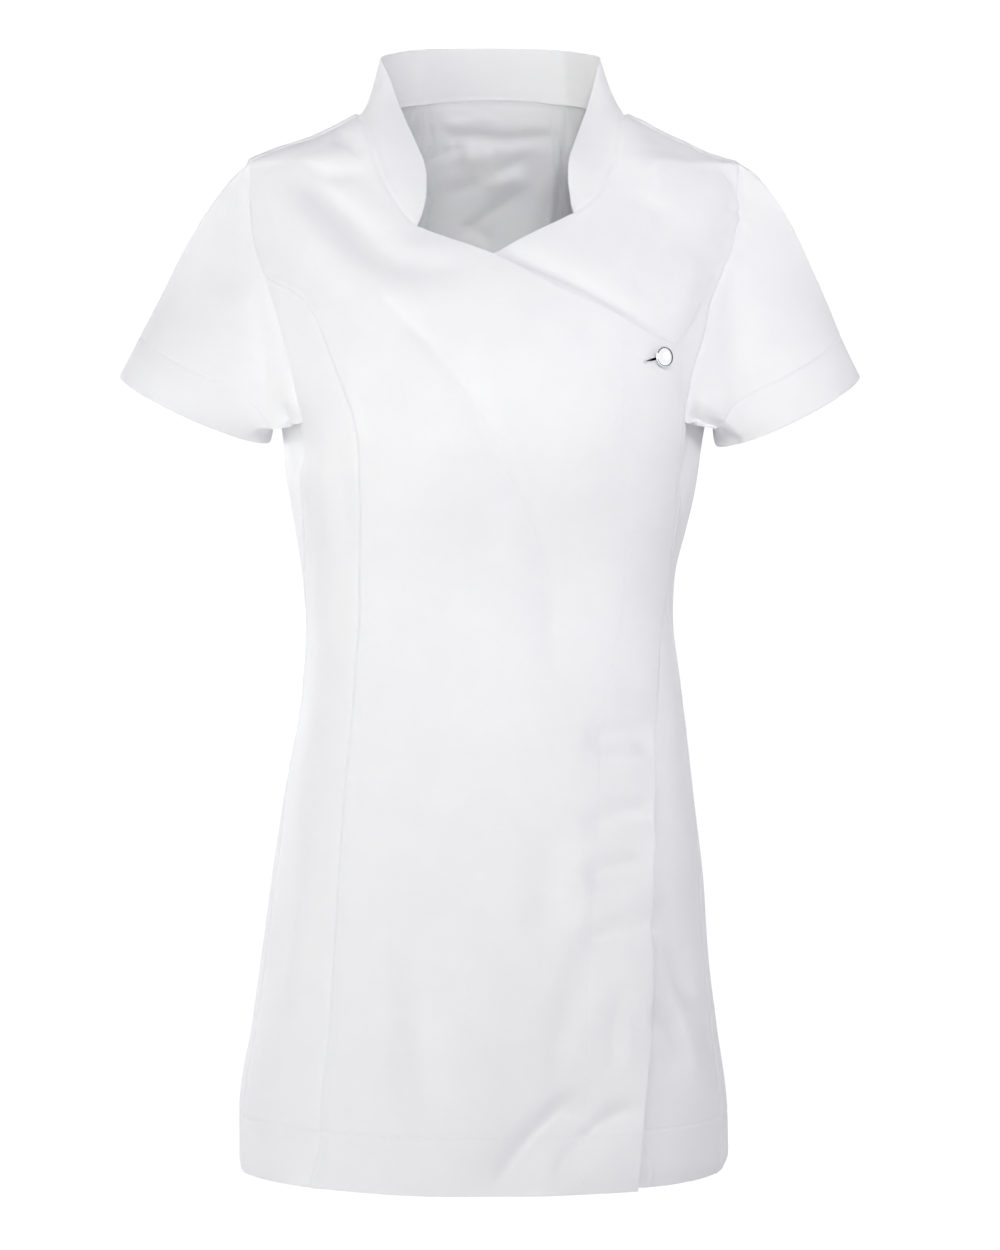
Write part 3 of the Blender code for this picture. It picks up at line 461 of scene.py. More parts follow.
COLLAR_EDGE_RIGHT = (       # share of the seam passed, x, y, height
    (0.00, 0.0, 55.0, 56.0),
    (0.23, -50.0, 41.5, 53.5),
    (0.33, -66.0, 27.0, 49.5),
    (0.42, -79.5, 8.0, 42.5),
    (0.51, -73.0, -4.0, 29.0),
    (0.61, -65.2, -15.0, 6.5),
    (0.77, -51.4, -38.0, -26.8),
    (0.84, -46.9, -48.0, -38.3),
    (0.90, -44.6, -57.0, -52.0),
    (0.945, -44.6, -62.0, -62.0),
    (0.98, -46.6, -69.0, -74.5),
    (1.00, -49.9, -74.5, -83.8),
)
COLLAR_EDGE_LEFT = (
    (0.00, 0.0, 55.0, 56.0),
    (0.23, 50.0, 41.5, 53.0),
    (0.33, 65.0, 27.0, 49.0),
    (0.42, 79.5, 8.0, 42.5),
    (0.51, 76.0, -4.0, 29.0),
    (0.61, 69.5, -14.0, 5.0),
    (0.745, 60.0, -35.0, -23.0),
    (0.84, 56.0, -48.0, -36.0),
    (0.90, 54.9, -54.0, -46.0),
    (0.945, 55.0, -58.0, -54.5),
    (0.98, 56.6, -64.0, -66.0),
    (1.00, 58.0, -69.5, -74.2),
)
SLEEVE_HEM = {              # centre, half width outwards and forwards, way down at the armhole
    "left": ((214.0, -2.0, -213.0), (52.0, 0.0, 25.0), (0.0, -46.0, -11.0), (0.74, 0.0, -0.44)),
    "right": ((212.5, -2.0, -211.5), (54.0, 0.0, 24.0), (0.0, -46.0, -10.0), (0.69, 0.0, -0.61)),
}
SLEEVE_END = (0.50, 0.00, -0.87)
ARMHOLE_CENTRE = (-6.0, -131.0)
ARMHOLE_REACH = (58.0, 96.0)
print("crossed neckline:", len(RIGHT_NECKLINE), "named places")

# %% [markdown]
# ## Curves and places
# Between the named places every curve is drawn so that it never overshoots, which a plain
# spline does and a sewn seam doesn't. Rows and columns are set close together along edges,
# seams and the hem's stitch line, because those are the places where cloth changes within a
# millimetre. Between them it changes slowly.

# %% Smooth curves
FINE = 1200


def smooth_table(knots, values):
    """A smooth curve through (knots, values) that never overshoots between them."""
    order = np.argsort(knots)
    knots = np.asarray(knots, dtype=float)[order]
    values = np.asarray(values, dtype=float)[order]
    steps = np.diff(knots)
    rises = np.diff(values) / steps
    slopes = np.zeros_like(values)
    same_way = rises[:-1] * rises[1:] > 0.0
    safe = np.where(same_way, rises[:-1] + rises[1:], 1.0)
    slopes[1:-1] = np.where(same_way, 2.0 * rises[:-1] * rises[1:] / safe, 0.0)
    slopes[0] = rises[0]
    slopes[-1] = rises[-1]

    def value(at):
        at = np.clip(np.asarray(at, dtype=float), knots[0], knots[-1])
        k = np.clip(np.searchsorted(knots, at) - 1, 0, len(steps) - 1)
        t = (at - knots[k]) / steps[k]
        start = (1.0 + 2.0 * t) * (1.0 - t) ** 2 * values[k]
        start_slope = t * (1.0 - t) ** 2 * steps[k] * slopes[k]
        end = t * t * (3.0 - 2.0 * t) * values[k + 1]
        end_slope = t * t * (t - 1.0) * steps[k] * slopes[k + 1]
        return start + start_slope + end + end_slope

    return value


def smooth_step(share):
    """0 below 0, 1 above 1 and a soft ramp between."""
    share = np.clip(share, 0.0, 1.0)
    return share * share * (3.0 - 2.0 * share)


def unit(vectors):
    return vectors / np.maximum(np.linalg.norm(vectors, axis=-1, keepdims=True), 1e-9)


def lengths_along(points):
    """Length passed at each point of a path."""
    steps = np.linalg.norm(np.diff(points, axis=0), axis=-1)
    return np.concatenate([np.zeros((1,) + steps.shape[1:]), np.cumsum(steps, axis=0)])


def points_at(wanted, passed, points):
    """Points of a path at the wanted lengths, given the length passed at each of its own."""
    return np.stack([np.interp(wanted, passed, points[:, k]) for k in range(points.shape[1])], axis=-1)


def even_path(points, count=FINE):
    """Evenly spaced points along a smooth path through the given points."""
    points = np.array(points, dtype=float)
    along = lengths_along(points)
    curves = [smooth_table(along, points[:, k]) for k in range(points.shape[1])]
    drawn = np.stack([curve(np.linspace(0.0, along[-1], count + 1)) for curve in curves], axis=1)
    passed = lengths_along(drawn)
    return points_at(np.linspace(0.0, passed[-1], count + 1), passed, drawn)


def join_paths(*paths):
    """Paths end to end, with each shared point kept once."""
    return np.concatenate([paths[0]] + [path[1:] for path in paths[1:]])


print("a path is drawn in", FINE, "steps")

# %% The form as a surface
SECTION = {
    name: smooth_table([row[0] for row in SECTIONS], [row[k + 1] for row in SECTIONS])
    for k, name in enumerate(SECTION_COLUMNS[1:])
}


def form_point(angle, height):
    """The place on the smooth form at an angle (degrees) and a height."""
    turn = np.radians(angle)
    power = SECTION["squareness"](height)
    cosine = np.cos(turn)
    sine = np.sin(turn)
    reach = (np.abs(cosine) ** power + np.abs(sine) ** power) ** (-1.0 / power)
    depth = np.where(sine > 0.0, SECTION["front"](height), SECTION["back"](height))
    x = SECTION["shift"](height) + SECTION["half_width"](height) * reach * cosine
    y = -depth * reach * sine
    return np.stack([x, y, height + 0.0 * x], axis=-1)


def angle_at(across, height, front=True):
    """The angle at which the form has this x, on its front or its back."""
    power = SECTION["squareness"](height)
    share = np.clip((across - SECTION["shift"](height)) / SECTION["half_width"](height), -1.0, 1.0)
    rise = (1.0 - np.abs(share) ** power) ** (1.0 / power)
    return np.degrees(np.arctan2(rise if front else -rise, share))


def form_normal(angle, height):
    """Unit vector out of the form."""
    round_step = form_point(angle - 0.5, height) - form_point(angle + 0.5, height)
    up_step = form_point(angle, height + 0.5) - form_point(angle, height - 0.5)
    return unit(np.cross(round_step, up_step))


waist = 2.0 * float(SECTION["half_width"](-366.0))
print("the form is", round(waist), "mm wide at the waist")

# %% Rows and columns
PLAIN_STEP = 3.0
SKIRT_STEP = 3.2
SKIRT_LENGTH = 540.0
HEM_LENGTH = 40.0
SLEEVE_HEM_LENGTH = 33.0
ROLL_OFFSETS = (0.0, 0.15, 0.4, 0.8, 1.5, 2.6, 4.2)
SEAM_OFFSETS = (0.0, 0.3, 0.7, 1.2, 1.9, 2.8, 4.2, 6.0, 8.0, 8.8, 9.4, 10.2, 12.0)
STITCH_OFFSETS = (-3.5, -2.0, -1.2, -0.6, 0.0, 0.6, 1.2, 2.0, 3.5)
BUST_ROWS = 40
ARMHOLE_ROWS = 40
NECKLINE_ROWS = 44
COLLAR_ROWS = BUST_ROWS + ARMHOLE_ROWS - NECKLINE_ROWS
BACK_NECK_ROWS = 22
BACK_ARMHOLE_ROWS = 84
TOP_CLOSENESS = 0.35        # how much closer a seam's rows come towards the top


def skirt_shares():
    """Shares of a seam from the hem to the underarm, dense at the hem and its stitch line."""
    rows = list(ROLL_OFFSETS)
    rows += list(np.arange(7.0, HEM_LENGTH - 4.0, SKIRT_STEP))
    rows += [HEM_LENGTH + offset for offset in STITCH_OFFSETS]
    upper_count = int((SKIRT_LENGTH - HEM_LENGTH) / SKIRT_STEP)
    rows += list(np.linspace(HEM_LENGTH + 6.0, SKIRT_LENGTH, upper_count))
    return np.array(rows) / SKIRT_LENGTH


def upper_shares(rows):
    """Even shares that come closer together at the end, for a seam across the top."""
    steps = np.linspace(0.0, 1.0, rows + 1)
    return np.sin(steps * math.pi / 2.0) * TOP_CLOSENESS + steps * (1.0 - TOP_CLOSENESS)


SKIRT_SHARES = skirt_shares()
SKIRT_ROWS = len(SKIRT_SHARES) - 1
print(SKIRT_ROWS, "rows in the skirt")


# %% Seam paths
def on_form(path, shares):
    """A path of (angle, height) sampled at shares of its length in millimetres."""
    passed = lengths_along(form_point(path[:, 0], path[:, 1]))
    return points_at(passed[-1] * shares, passed, path)


def mirrored(path):
    return np.stack([180.0 - path[:, 0], path[:, 1]], axis=1)


def table_path(table):
    """A (height, angle) table as a path of (angle, height)."""
    return even_path([(angle, height) for height, angle in table])


def across_path(table, front=True):
    """A table of x and height as a path of (angle, height)."""
    path = even_path(table)
    return np.stack([angle_at(path[:, 0], path[:, 1], front), path[:, 1]], axis=1)


def even(rows):
    return np.linspace(0.0, 1.0, rows + 1)


armhole_angle = smooth_table(*zip(*ARMHOLE_FRONT[1:]))
JUNCTION = (float(armhole_angle(PRINCESS_TOP)), PRINCESS_TOP)


def side_seam_path():
    return on_form(table_path(SIDE_SEAM), SKIRT_SHARES)


def lower_armhole_path():
    """Armhole from the side seam up to just short of the princess seam."""
    lower = [(a, h) for h, a in ARMHOLE_FRONT if h < PRINCESS_TOP - JUNCTION_REACH]
    path = even_path(lower + [JUNCTION])
    return on_form(path[:int(FINE * SIDE_FRONT_TIP)], even(BUST_ROWS))


def upper_armhole_path():
    """Armhole from the princess seam up to the shoulder seam."""
    upper = [(a, h) for h, a in ARMHOLE_FRONT if h > PRINCESS_TOP + JUNCTION_REACH]
    return on_form(even_path([JUNCTION] + upper), upper_shares(ARMHOLE_ROWS))


def back_armhole_path():
    return on_form(table_path(ARMHOLE_BACK), upper_shares(BACK_ARMHOLE_ROWS))


def front_princess_path(column):
    """Front princess seam from the hem to the armhole, as (angle, height)."""
    heights = np.array([row[0] for row in PRINCESS_FRONT])
    angles = angle_at(np.array([row[column] for row in PRINCESS_FRONT]), heights)
    top_angle = JUNCTION[0] if column == 2 else 180.0 - JUNCTION[0]
    points = list(zip(angles, heights)) + [(top_angle, PRINCESS_TOP)]
    skirt = on_form(even_path([p for p in points if p[1] <= BUST_LEVEL]), SKIRT_SHARES)
    bust = on_form(even_path([p for p in points if p[1] >= BUST_LEVEL]), even(BUST_ROWS))
    return join_paths(skirt, bust)


def back_princess_path():
    path = across_path(PRINCESS_BACK, front=False)
    split = int(np.searchsorted(path[:, 1], UNDERARM_HEIGHT))
    upper = upper_shares(BACK_ARMHOLE_ROWS - BACK_NECK_ROWS)
    return join_paths(on_form(path[:split + 1], SKIRT_SHARES), on_form(path[split:], upper))


def back_neck_path():
    """Collar seam from the back princess seam to the shoulder seam, on the left."""
    points = [tuple(back_princess_path()[-1])] + [(angle, height) for height, angle in BACK_NECK]
    return on_form(even_path(points), even(BACK_NECK_ROWS))


def front_edge_path(edge, neckline, collar_seam, shoulder_angle):
    """Free edge, neckline and collar seam of a front, ending at the shoulder seam."""
    rising = np.vstack([across_path(collar_seam), [shoulder_angle, 0.0]])
    return join_paths(on_form(across_path(edge), SKIRT_SHARES),
                      on_form(across_path(neckline), even(NECKLINE_ROWS)),
                      on_form(rising, even(COLLAR_ROWS)))


print("armhole and princess seam meet at angle", round(JUNCTION[0], 1))

# %% [markdown]
# ## Creases
# Creases are drawn as soft ridges and troughs, each a line with a width to either
# side and a depth. The ones in front are placed as they are seen from the front, so a line's
# x and height are those that the camera sees. Uneven lengths, widths and depths keep them
# from looking stamped. The hidden back gets creases of the same kind: drag lines at the
# waist, soft folds in the skirt and a few at the shoulder blades. Its top is seen from the
# inside, through the neck, so the creases there are placed as the camera sees them too.

# %% Main folds, shared with the imported solids
FRONT_FOLDS = (             # start x and z, end x and z, width, depth
    (-141.0, -62.0, -92.0, -130.0, 13.0, 2.6),
    (-128.0, -48.0, -70.0, -118.0, 14.0, -2.8),
    (-70.0, -118.0, -26.0, -116.0, 12.0, -1.6),
    (133.0, -76.0, 104.0, -138.0, 14.0, -2.4),
    (-76.0, -135.0, -38.0, -170.0, 22.0, 2.0),
    (-38.0, -170.0, 28.0, -290.0, 24.0, 3.0),
    (28.0, -290.0, 46.0, -430.0, 22.0, 2.4),
    (86.0, -640.0, 54.0, -735.0, 16.0, -2.4),
    (64.0, -700.0, -8.0, -760.0, 18.0, -3.0),
    (-52.0, -620.0, -46.0, -715.0, 15.0, -2.2),
    (32.0, -500.0, 50.0, -575.0, 16.0, -2.0),
    (-8.0, -560.0, -20.0, -740.0, 24.0, 1.8),
)
BACK_FOLDS = (
    (-96.0, -330.0, -20.0, -372.0, 15.0, -2.4),
    (92.0, -318.0, 24.0, -366.0, 14.0, -2.0),
    (-60.0, -395.0, 34.0, -408.0, 13.0, -1.8),
    (-48.0, -560.0, -62.0, -750.0, 20.0, -2.6),
    (44.0, -590.0, 50.0, -752.0, 22.0, -2.2),
    (0.0, -520.0, -6.0, -745.0, 24.0, 2.0),
    (-120.0, -95.0, -84.0, -200.0, 16.0, -2.0),
    (118.0, -102.0, 88.0, -190.0, 17.0, -2.0),
)
FOLD_END = 22.0
FOLD_SIDE_START = 10.0
FOLD_SIDE_RANGE = 30.0


def fold_rise(point):
    """How far the main folds push the cloth out at a place on the form."""
    rise = np.zeros(point.shape[:-1])
    for folds, side in ((FRONT_FOLDS, -1.0), (BACK_FOLDS, 1.0)):
        on_side = smooth_step((side * point[..., 1] - FOLD_SIDE_START) / FOLD_SIDE_RANGE)
        for x0, z0, x1, z1, width, depth in folds:
            run = np.array([x1 - x0, z1 - z0])
            length = np.linalg.norm(run)
            run = run / length
            from_start = point[..., [0, 2]] - np.array([x0, z0])
            along = from_start @ run
            aside = from_start[..., 0] * run[1] - from_start[..., 1] * run[0]
            ends = smooth_step(along / FOLD_END + 0.5) * smooth_step((length - along) / FOLD_END + 0.5)
            rise = rise + depth * on_side * ends * np.exp(-((aside / width) ** 2))
    return rise


print(len(FRONT_FOLDS), "main folds in front,", len(BACK_FOLDS), "behind")

# %% Finer creases
FRONT_CREASES = (           # width left and right of the line as it runs, depth, crispness, places x and z
    (28.0, 30.0, -8.6, 1.15, ((-77, -131), (-56, -153), (-36, -170), (-16, -199), (0, -227), (16, -261),
                              (29, -291), (40, -320), (45, -349), (47, -392), (48, -440))),
    (10.0, 13.0, -3.0, 1.3, ((-86, -120), (-66, -143), (-46, -162), (-26, -186), (-8, -214))),
    (14.0, 12.0, 1.0, 2.2, ((-149, -50), (-137, -72), (-119, -95), (-101, -116), (-88, -132))),
    (6.0, 7.0, -1.6, 1.8, ((-167, -48), (-155, -72), (-144, -90), (-133, -104), (-119, -122), (-102, -136))),
    (9.0, 10.0, -1.2, 1.8, ((-132, -44), (-119, -58), (-97, -77), (-79, -96), (-60, -110))),
    (7.0, 11.0, -0.8, 1.7, ((-84, -98), (-62, -107), (-43, -110), (-14, -111))),
    (8.0, 8.0, 0.8, 1.9, ((-126, -42), (-101, -57), (-79, -70), (-63, -84), (-47, -96), (-18, -105))),
    (9.0, 2.0, -2.2, 1.6, ((-12, -90), (30, -107), (62, -121), (94, -139), (132, -163))),
    (5.0, 6.0, -1.5, 1.8, ((-142, -30), (-115, -41), (-84, -42))),
    (6.0, 6.0, -2.2, 1.8, ((-116, -12), (-101, -20), (-88, -29))),
    (5.0, 6.0, -1.3, 1.8, ((-176, -40), (-150, -31), (-125, -24), (-102, -16))),
    (6.0, 8.0, -1.6, 1.8, ((100, -7), (126, -20), (144, -30), (162, -39), (180, -50))),
    (11.0, 11.0, -0.9, 1.9, ((144, -64), (128, -92), (116, -114), (102, -137))),
    (11.0, 11.0, 0.8, 1.9, ((122, -66), (108, -92), (98, -112))),
    (10.0, 11.0, 1.3, 1.9, ((150, -96), (140, -122), (132, -150))),
    (5.0, 7.0, -1.5, 1.7, ((162, -124), (150, -148), (136, -170))),
    (9.0, 9.0, 1.5, 1.9, ((112, -28), (120, -48), (116, -66))),
    (14.0, 4.0, -4.6, 1.6, ((-149, -204), (-148, -224), (-145, -242), (-141, -262))),
    (5.0, 8.0, -5.0, 1.6, ((149, -198), (150, -226), (146, -252), (139, -284))),
    (11.0, 15.0, -3.6, 1.8, ((-172, -120), (-168, -150), (-166, -180), (-160, -215), (-150, -236))),
    (3.5, 4.5, -2.4, 1.7, ((160, -33), (172, -40), (178, -52), (180, -68))),
    (4.0, 5.0, -1.3, 1.8, ((-185, -40), (-190, -60), (-193, -86))),
    (4.0, 4.0, -1.3, 1.8, ((-177, -32), (-180, -48), (-181, -66))),
    (16.0, 18.0, 2.0, 1.9, ((-188, -116), (-198, -165), (-206, -208))),
    (14.0, 14.0, -3.4, 1.8, ((170, -112), (176, -145), (177, -172), (170, -204))),
    (6.0, 6.0, 2.4, 1.6, ((142, -200), (158, -210), (172, -222), (186, -236))),
    (5.0, 6.0, -2.4, 1.7, ((150, -216), (166, -228), (182, -240))),
    (2.2, 2.6, -0.9, 1.6, ((170, -62), (175, -68), (183, -70))),
    (2.2, 2.4, 0.8, 1.6, ((171, -68), (177, -74), (184, -78))),
    (2.0, 2.4, -0.8, 1.6, ((158, -118), (165, -112), (172, -104))),
    (16.0, 16.0, -2.4, 2.0, ((-64, -580), (-56, -635), (-52, -680), (-47, -716))),
    (14.0, 12.0, -1.5, 1.9, ((62, -490), (49, -529), (36, -565), (28, -600))),
    (12.0, 10.0, 1.0, 1.9, ((73, -512), (61, -548), (50, -590))),
    (15.0, 12.0, -3.2, 1.8, ((67, -584), (60, -636), (50, -674), (41, -706))),
    (13.0, 7.5, -5.2, 1.9, ((70, -702), (50, -717), (36, -731), (18, -752), (0, -780))),
    (10.0, 6.5, -4.6, 1.9, ((113, -711), (90, -720), (78, -729), (61, -747), (42, -772))),
    (6.0, 6.0, 0.8, 1.8, ((56, -726), (38, -746), (20, -770))),
    (12.0, 9.5, -4.2, 2.3, ((124, -444), (94, -446), (64, -450))),
    (12.0, 10.0, -3.0, 2.2, ((124, -499), (92, -504), (60, -513))),
    (11.0, 8.5, -4.0, 2.3, ((119, -537), (92, -542), (64, -550))),
    (13.0, 10.0, -4.2, 2.2, ((124, -579), (94, -587), (64, -597))),
    (6.0, 7.0, -1.7, 1.8, ((98, -624), (90, -658), (88, -692))),
    (7.0, 2.0, -2.6, 1.6, ((149, -176), (145, -222), (134, -322), (123, -392), (120, -490), (117, -617),
                           (116, -750))),
    (10.0, 8.0, -3.2, 1.8, ((118, -556), (132, -600), (146, -652))),
    (9.0, 8.0, -3.6, 1.7, ((114, -634), (130, -668), (139, -706))),
    (10.0, 10.0, 2.2, 1.8, ((128, -618), (140, -660), (150, -702))),
    (9.0, 12.0, -1.5, 1.8, ((-150, -480), (-146, -560), (-158, -644))),
    (12.0, 12.0, 1.5, 1.8, ((-136, -520), (-140, -600), (-150, -704))),
    (14.0, 14.0, -1.6, 1.9, ((-20, -300), (-28, -360), (-24, -430), (-36, -504))),
    (14.0, 16.0, 1.3, 1.9, ((-70, -330), (-64, -420), (-72, -524))),
    (8.0, 9.0, -1.1, 1.8, ((-116, -226), (-108, -262), (-104, -312))),
    (7.0, 8.0, 1.0, 1.8, ((-126, -232), (-119, -268), (-116, -314))),
    (2.6, 2.8, -0.7, 1.6, ((118, -630), (108, -632), (100, -630))),
    (2.4, 2.8, -0.7, 1.6, ((120, -644), (110, -645), (101, -648))),
    (2.8, 2.8, -0.7, 1.6, ((117, -656), (106, -658), (99, -656))),
    (2.4, 3.0, -0.6, 1.6, ((116, -668), (107, -668), (98, -672))),
    (2.8, 3.0, -0.7, 1.6, ((117, -684), (106, -686), (97, -684))),
    (2.6, 2.8, -0.6, 1.6, ((114, -702), (104, -703), (96, -706))),
)
INSIDE_CREASES = (          # the back seen through the neck; a positive depth is away from the camera
    (3.5, 6.0, 2.0, 1.6, ((-44, -20), (-38, -18), (-14, -15), (12, -18), (36, -15), (52, -14))),
    (4.0, 4.0, 1.6, 1.7, ((-40, -27), (-32, -27), (-18, -22))),
    (5.0, 5.0, -1.5, 1.8, ((-24, -28), (-10, -32), (4, -28))),
    (5.0, 5.0, 1.4, 1.7, ((-46, -56), (-28, -54), (-12, -50), (10, -40), (38, -24))),
    (7.0, 6.0, -1.6, 1.8, ((-18, -44), (4, -48), (30, -44))),
    (5.0, 5.0, 1.2, 1.8, ((28, -52), (8, -66), (-8, -76), (-20, -92))),
    (4.0, 5.0, 1.5, 1.7, ((-26, -80), (-10, -84), (4, -92))),
    (5.0, 5.0, 1.6, 1.8, ((42, -60), (36, -76), (32, -96))),
    (1.8, 13.0, 3.6, 1.5, ((-53.5, 20), (-55, -10), (-58, -50), (-62, -104))),
    (14.0, 2.4, 3.9, 1.6, ((55, 20), (54, -10), (51.5, -42), (47.5, -79), (44, -112))),
    (4.0, 4.0, -0.9, 1.8, ((-40, -2), (-24, -6), (-8, -2), (10, -4))),
)
BACK_CREASES = (            # the same on the back, by its own x and z; a positive depth is outwards
    (10.0, 12.0, 1.4, 1.8, ((-96, -62), (-78, -110), (-70, -160))),
    (9.0, 11.0, 1.2, 1.8, ((100, -58), (82, -104), (78, -150))),
    (8.0, 9.0, -1.3, 1.7, ((-118, -212), (-92, -236), (-60, -250))),
    (8.0, 9.0, -1.2, 1.7, ((120, -206), (96, -232), (70, -244))),
    (7.0, 8.0, -1.4, 1.6, ((-78, -352), (-44, -366), (-10, -370))),
    (7.0, 8.0, -1.2, 1.6, ((80, -344), (48, -354), (16, -352))),
    (6.0, 7.0, 1.0, 1.7, ((-66, -378), (-30, -388), (20, -384))),
    (12.0, 14.0, -1.6, 1.9, ((-92, -520), (-98, -620), (-110, -748))),
    (12.0, 12.0, 1.5, 1.9, ((-70, -540), (-78, -650), (-84, -752))),
    (13.0, 12.0, -1.6, 1.9, ((20, -500), (22, -600), (16, -740))),
    (12.0, 14.0, 1.4, 1.9, ((74, -560), (80, -660), (84, -750))),
    (10.0, 12.0, -1.4, 1.9, ((108, -540), (118, -640), (126, -745))),
    (11.0, 10.0, -1.8, 1.8, ((168, -120), (176, -165), (182, -200))),
    (11.0, 12.0, -1.6, 1.8, ((-170, -116), (-178, -160), (-186, -205))),
    (14.0, 14.0, 1.3, 1.9, ((204, -110), (212, -160), (220, -200))),
    (14.0, 12.0, 1.3, 1.9, ((-204, -104), (-214, -158), (-222, -198))),
)
CREASE_SAMPLES = 28
CREASE_STRENGTH = 1.35
CREASE_FADE = 0.28
CREASE_REACH = 3.2          # a crease isn't felt this many widths away
CAMERA_DISTANCE = 2800.0    # the camera's place in millimetres, from which the creases were drawn
CAMERA_ACROSS = 7.0
CAMERA_LEVEL = -367.0
FACING_EDGE = 0.05          # front creases reach this far past sideways, back creases stop short
FACING_RANGE = 0.35
DEPTH_SHARE = 0.7           # of the way to the back, that counts as way round the body
HALF_TURN = 3.14
DRAPE_WAVES = (             # slow unevenness: half waves per mm round and up, turn, depth
    (0.011, 0.017, 0.4, 0.30),
    (-0.019, 0.009, 2.1, 0.26),
    (0.027, 0.023, 4.0, 0.16),
    (0.041, -0.018, 1.2, 0.12),
)


def seen_from_front(point):
    """Where the camera sees a point, as x and height on the plane through the shoulders."""
    scale = CAMERA_DISTANCE / (CAMERA_DISTANCE + point[..., 1])
    across = (point[..., 0] - CAMERA_ACROSS) * scale + CAMERA_ACROSS
    return np.stack([across, (point[..., 2] - CAMERA_LEVEL) * scale + CAMERA_LEVEL], axis=-1)


def crease_rise(spots, creases):
    """Sum of the creases at flat places (x, z); each fades out towards its two ends."""
    rise = np.zeros(len(spots))
    for left_width, right_width, depth, crispness, places in creases:
        line = even_path(places, CREASE_SAMPLES)
        way = unit(np.gradient(line, axis=0))
        passed = lengths_along(line)
        reach = CREASE_REACH * max(left_width, right_width)
        low = line.min(axis=0) - reach
        high = line.max(axis=0) + reach
        near = np.where(((spots > low) & (spots < high)).all(axis=1))[0]
        if not len(near):
            continue
        offset = spots[near][:, None, :] - line[None]
        nearest = np.argmin((offset ** 2).sum(axis=2), axis=1)
        offset = offset[np.arange(len(near)), nearest]
        direction = way[nearest]
        along = (passed[nearest] + (offset * direction).sum(axis=1)) / passed[-1]
        aside = offset[:, 0] * direction[:, 1] - offset[:, 1] * direction[:, 0]
        width = np.where(aside > 0.0, right_width, left_width)
        fade = smooth_step(along / CREASE_FADE) * smooth_step((1.0 - along) / CREASE_FADE)
        rise[near] += CREASE_STRENGTH * depth * fade * np.exp(-np.abs(aside / width) ** crispness)
    return rise


def drape_rise(point, normal):
    """All creases and the slow unevenness at points of the cloth."""
    flat = point.reshape(-1, 3)
    facing = normal.reshape(-1, 3)[:, 1]
    seen = seen_from_front(flat)
    in_front = smooth_step((-facing + FACING_EDGE) / FACING_RANGE)
    front = in_front * crease_rise(seen, FRONT_CREASES)
    behind = crease_rise(flat[:, [0, 2]], BACK_CREASES) + crease_rise(seen, INSIDE_CREASES)
    behind = behind * smooth_step((facing - FACING_EDGE) / FACING_RANGE)
    slow = np.zeros(len(flat))
    round_way = flat[:, 0] + DEPTH_SHARE * flat[:, 1]
    for per_round, per_up, turn, depth in DRAPE_WAVES:
        slow += depth * np.sin(per_round * HALF_TURN * round_way + per_up * HALF_TURN * flat[:, 2] + turn)
    return (front + behind + slow).reshape(point.shape[:-1])


print(len(FRONT_CREASES) + len(INSIDE_CREASES) + len(BACK_CREASES), "finer creases")

# %% [markdown]
# ## Seams, hems and edges
# Two panels that are sewn together puff up beside the seam, over the allowances pressed to
# that side, with small puckers where the thread draws the cloth in. Inside, the allowance
# doubles the cloth for a centimetre. A hem is cloth turned up once and stitched, so it is
# twice as thick up to its stitch line. A free edge is folded over, so it is round, never a
# knife edge. Distances from each point to the panel's edges drive all of this.

# %% Distances to edges
EDGE_STEP = 0.8


def tree_of(points):
    """Points sorted so that the nearest one is found quickly."""
    tree = kdtree.KDTree(len(points))
    for index, point in enumerate(points):
        tree.insert(point, index)
    tree.balance()
    return tree


class Edge:
    """A seam or edge as close points, a seed for its puckers and how much it raises this side."""

    def __init__(self, points, seed, raised=0.0):
        passed = lengths_along(points)
        count = max(8, int(passed[-1] / EDGE_STEP))
        self.passed = np.linspace(0.0, passed[-1], count)
        self.tree = tree_of(points_at(self.passed, passed, points))
        self.seed = seed
        self.raised = raised

    def measure(self, points):
        """Distance and length passed for each point."""
        found = [self.tree.find(point) for point in points]
        index = np.array([hit[1] for hit in found])
        away = np.array([hit[2] for hit in found])
        return away, self.passed[index]


def nearest_of(edges, points):
    """Distance to the nearest of several edges, the length passed there, its seed and ridge."""
    away = np.full(len(points), 1e6)
    passed, seed, raised = np.zeros((3, len(points)))
    for edge in edges:
        this_away, this_passed = edge.measure(points)
        closer = this_away < away
        away = np.where(closer, this_away, away)
        passed = np.where(closer, this_passed, passed)
        seed = np.where(closer, edge.seed, seed)
        raised = np.where(closer, edge.raised, raised)
    return away, passed, seed, raised


# %% How cloth behaves along them
CLOTH = 0.55
MOST_CLOTH = 1.35           # however many layers meet
SEAM_RIDGE = 1.6            # on the side that the seam's two allowances are pressed to
SEAM_RIDGE_PLACE = 2.8
SEAM_RIDGE_WIDTH = 5.0
SEAM_PUCKER = 0.10
SEAM_PUCKER_REACH = 9.0
STITCH_GROOVE = 0.42
STITCH_GROOVE_WIDTH = 0.95
STITCH_PUCKER = 0.15
STITCH_PUCKER_REACH = 7.0
ALLOWANCE = 9.5
ALLOWANCE_CLOTH = 0.55
HEM_CLOTH = 0.60
ROLL = 0.75
ROLL_SHARE = 0.44           # of the thickness, by which each face bends in at a folded edge
STEP_WIDTH = 0.8


def puckers(passed, seed):
    """Uneven small waves along a stitched line, between -1 and 1."""
    beat = 0.5 + 0.5 * np.sin(passed / 19.0 + seed * 1.7)
    fine = np.sin(passed / 1.55 + 1.4 * np.sin(passed / 13.0 + seed))
    coarse = np.sin(passed / 3.4 + seed * 2.3 + 1.1 * np.sin(passed / 29.0))
    return 0.45 * fine * beat + 0.55 * coarse


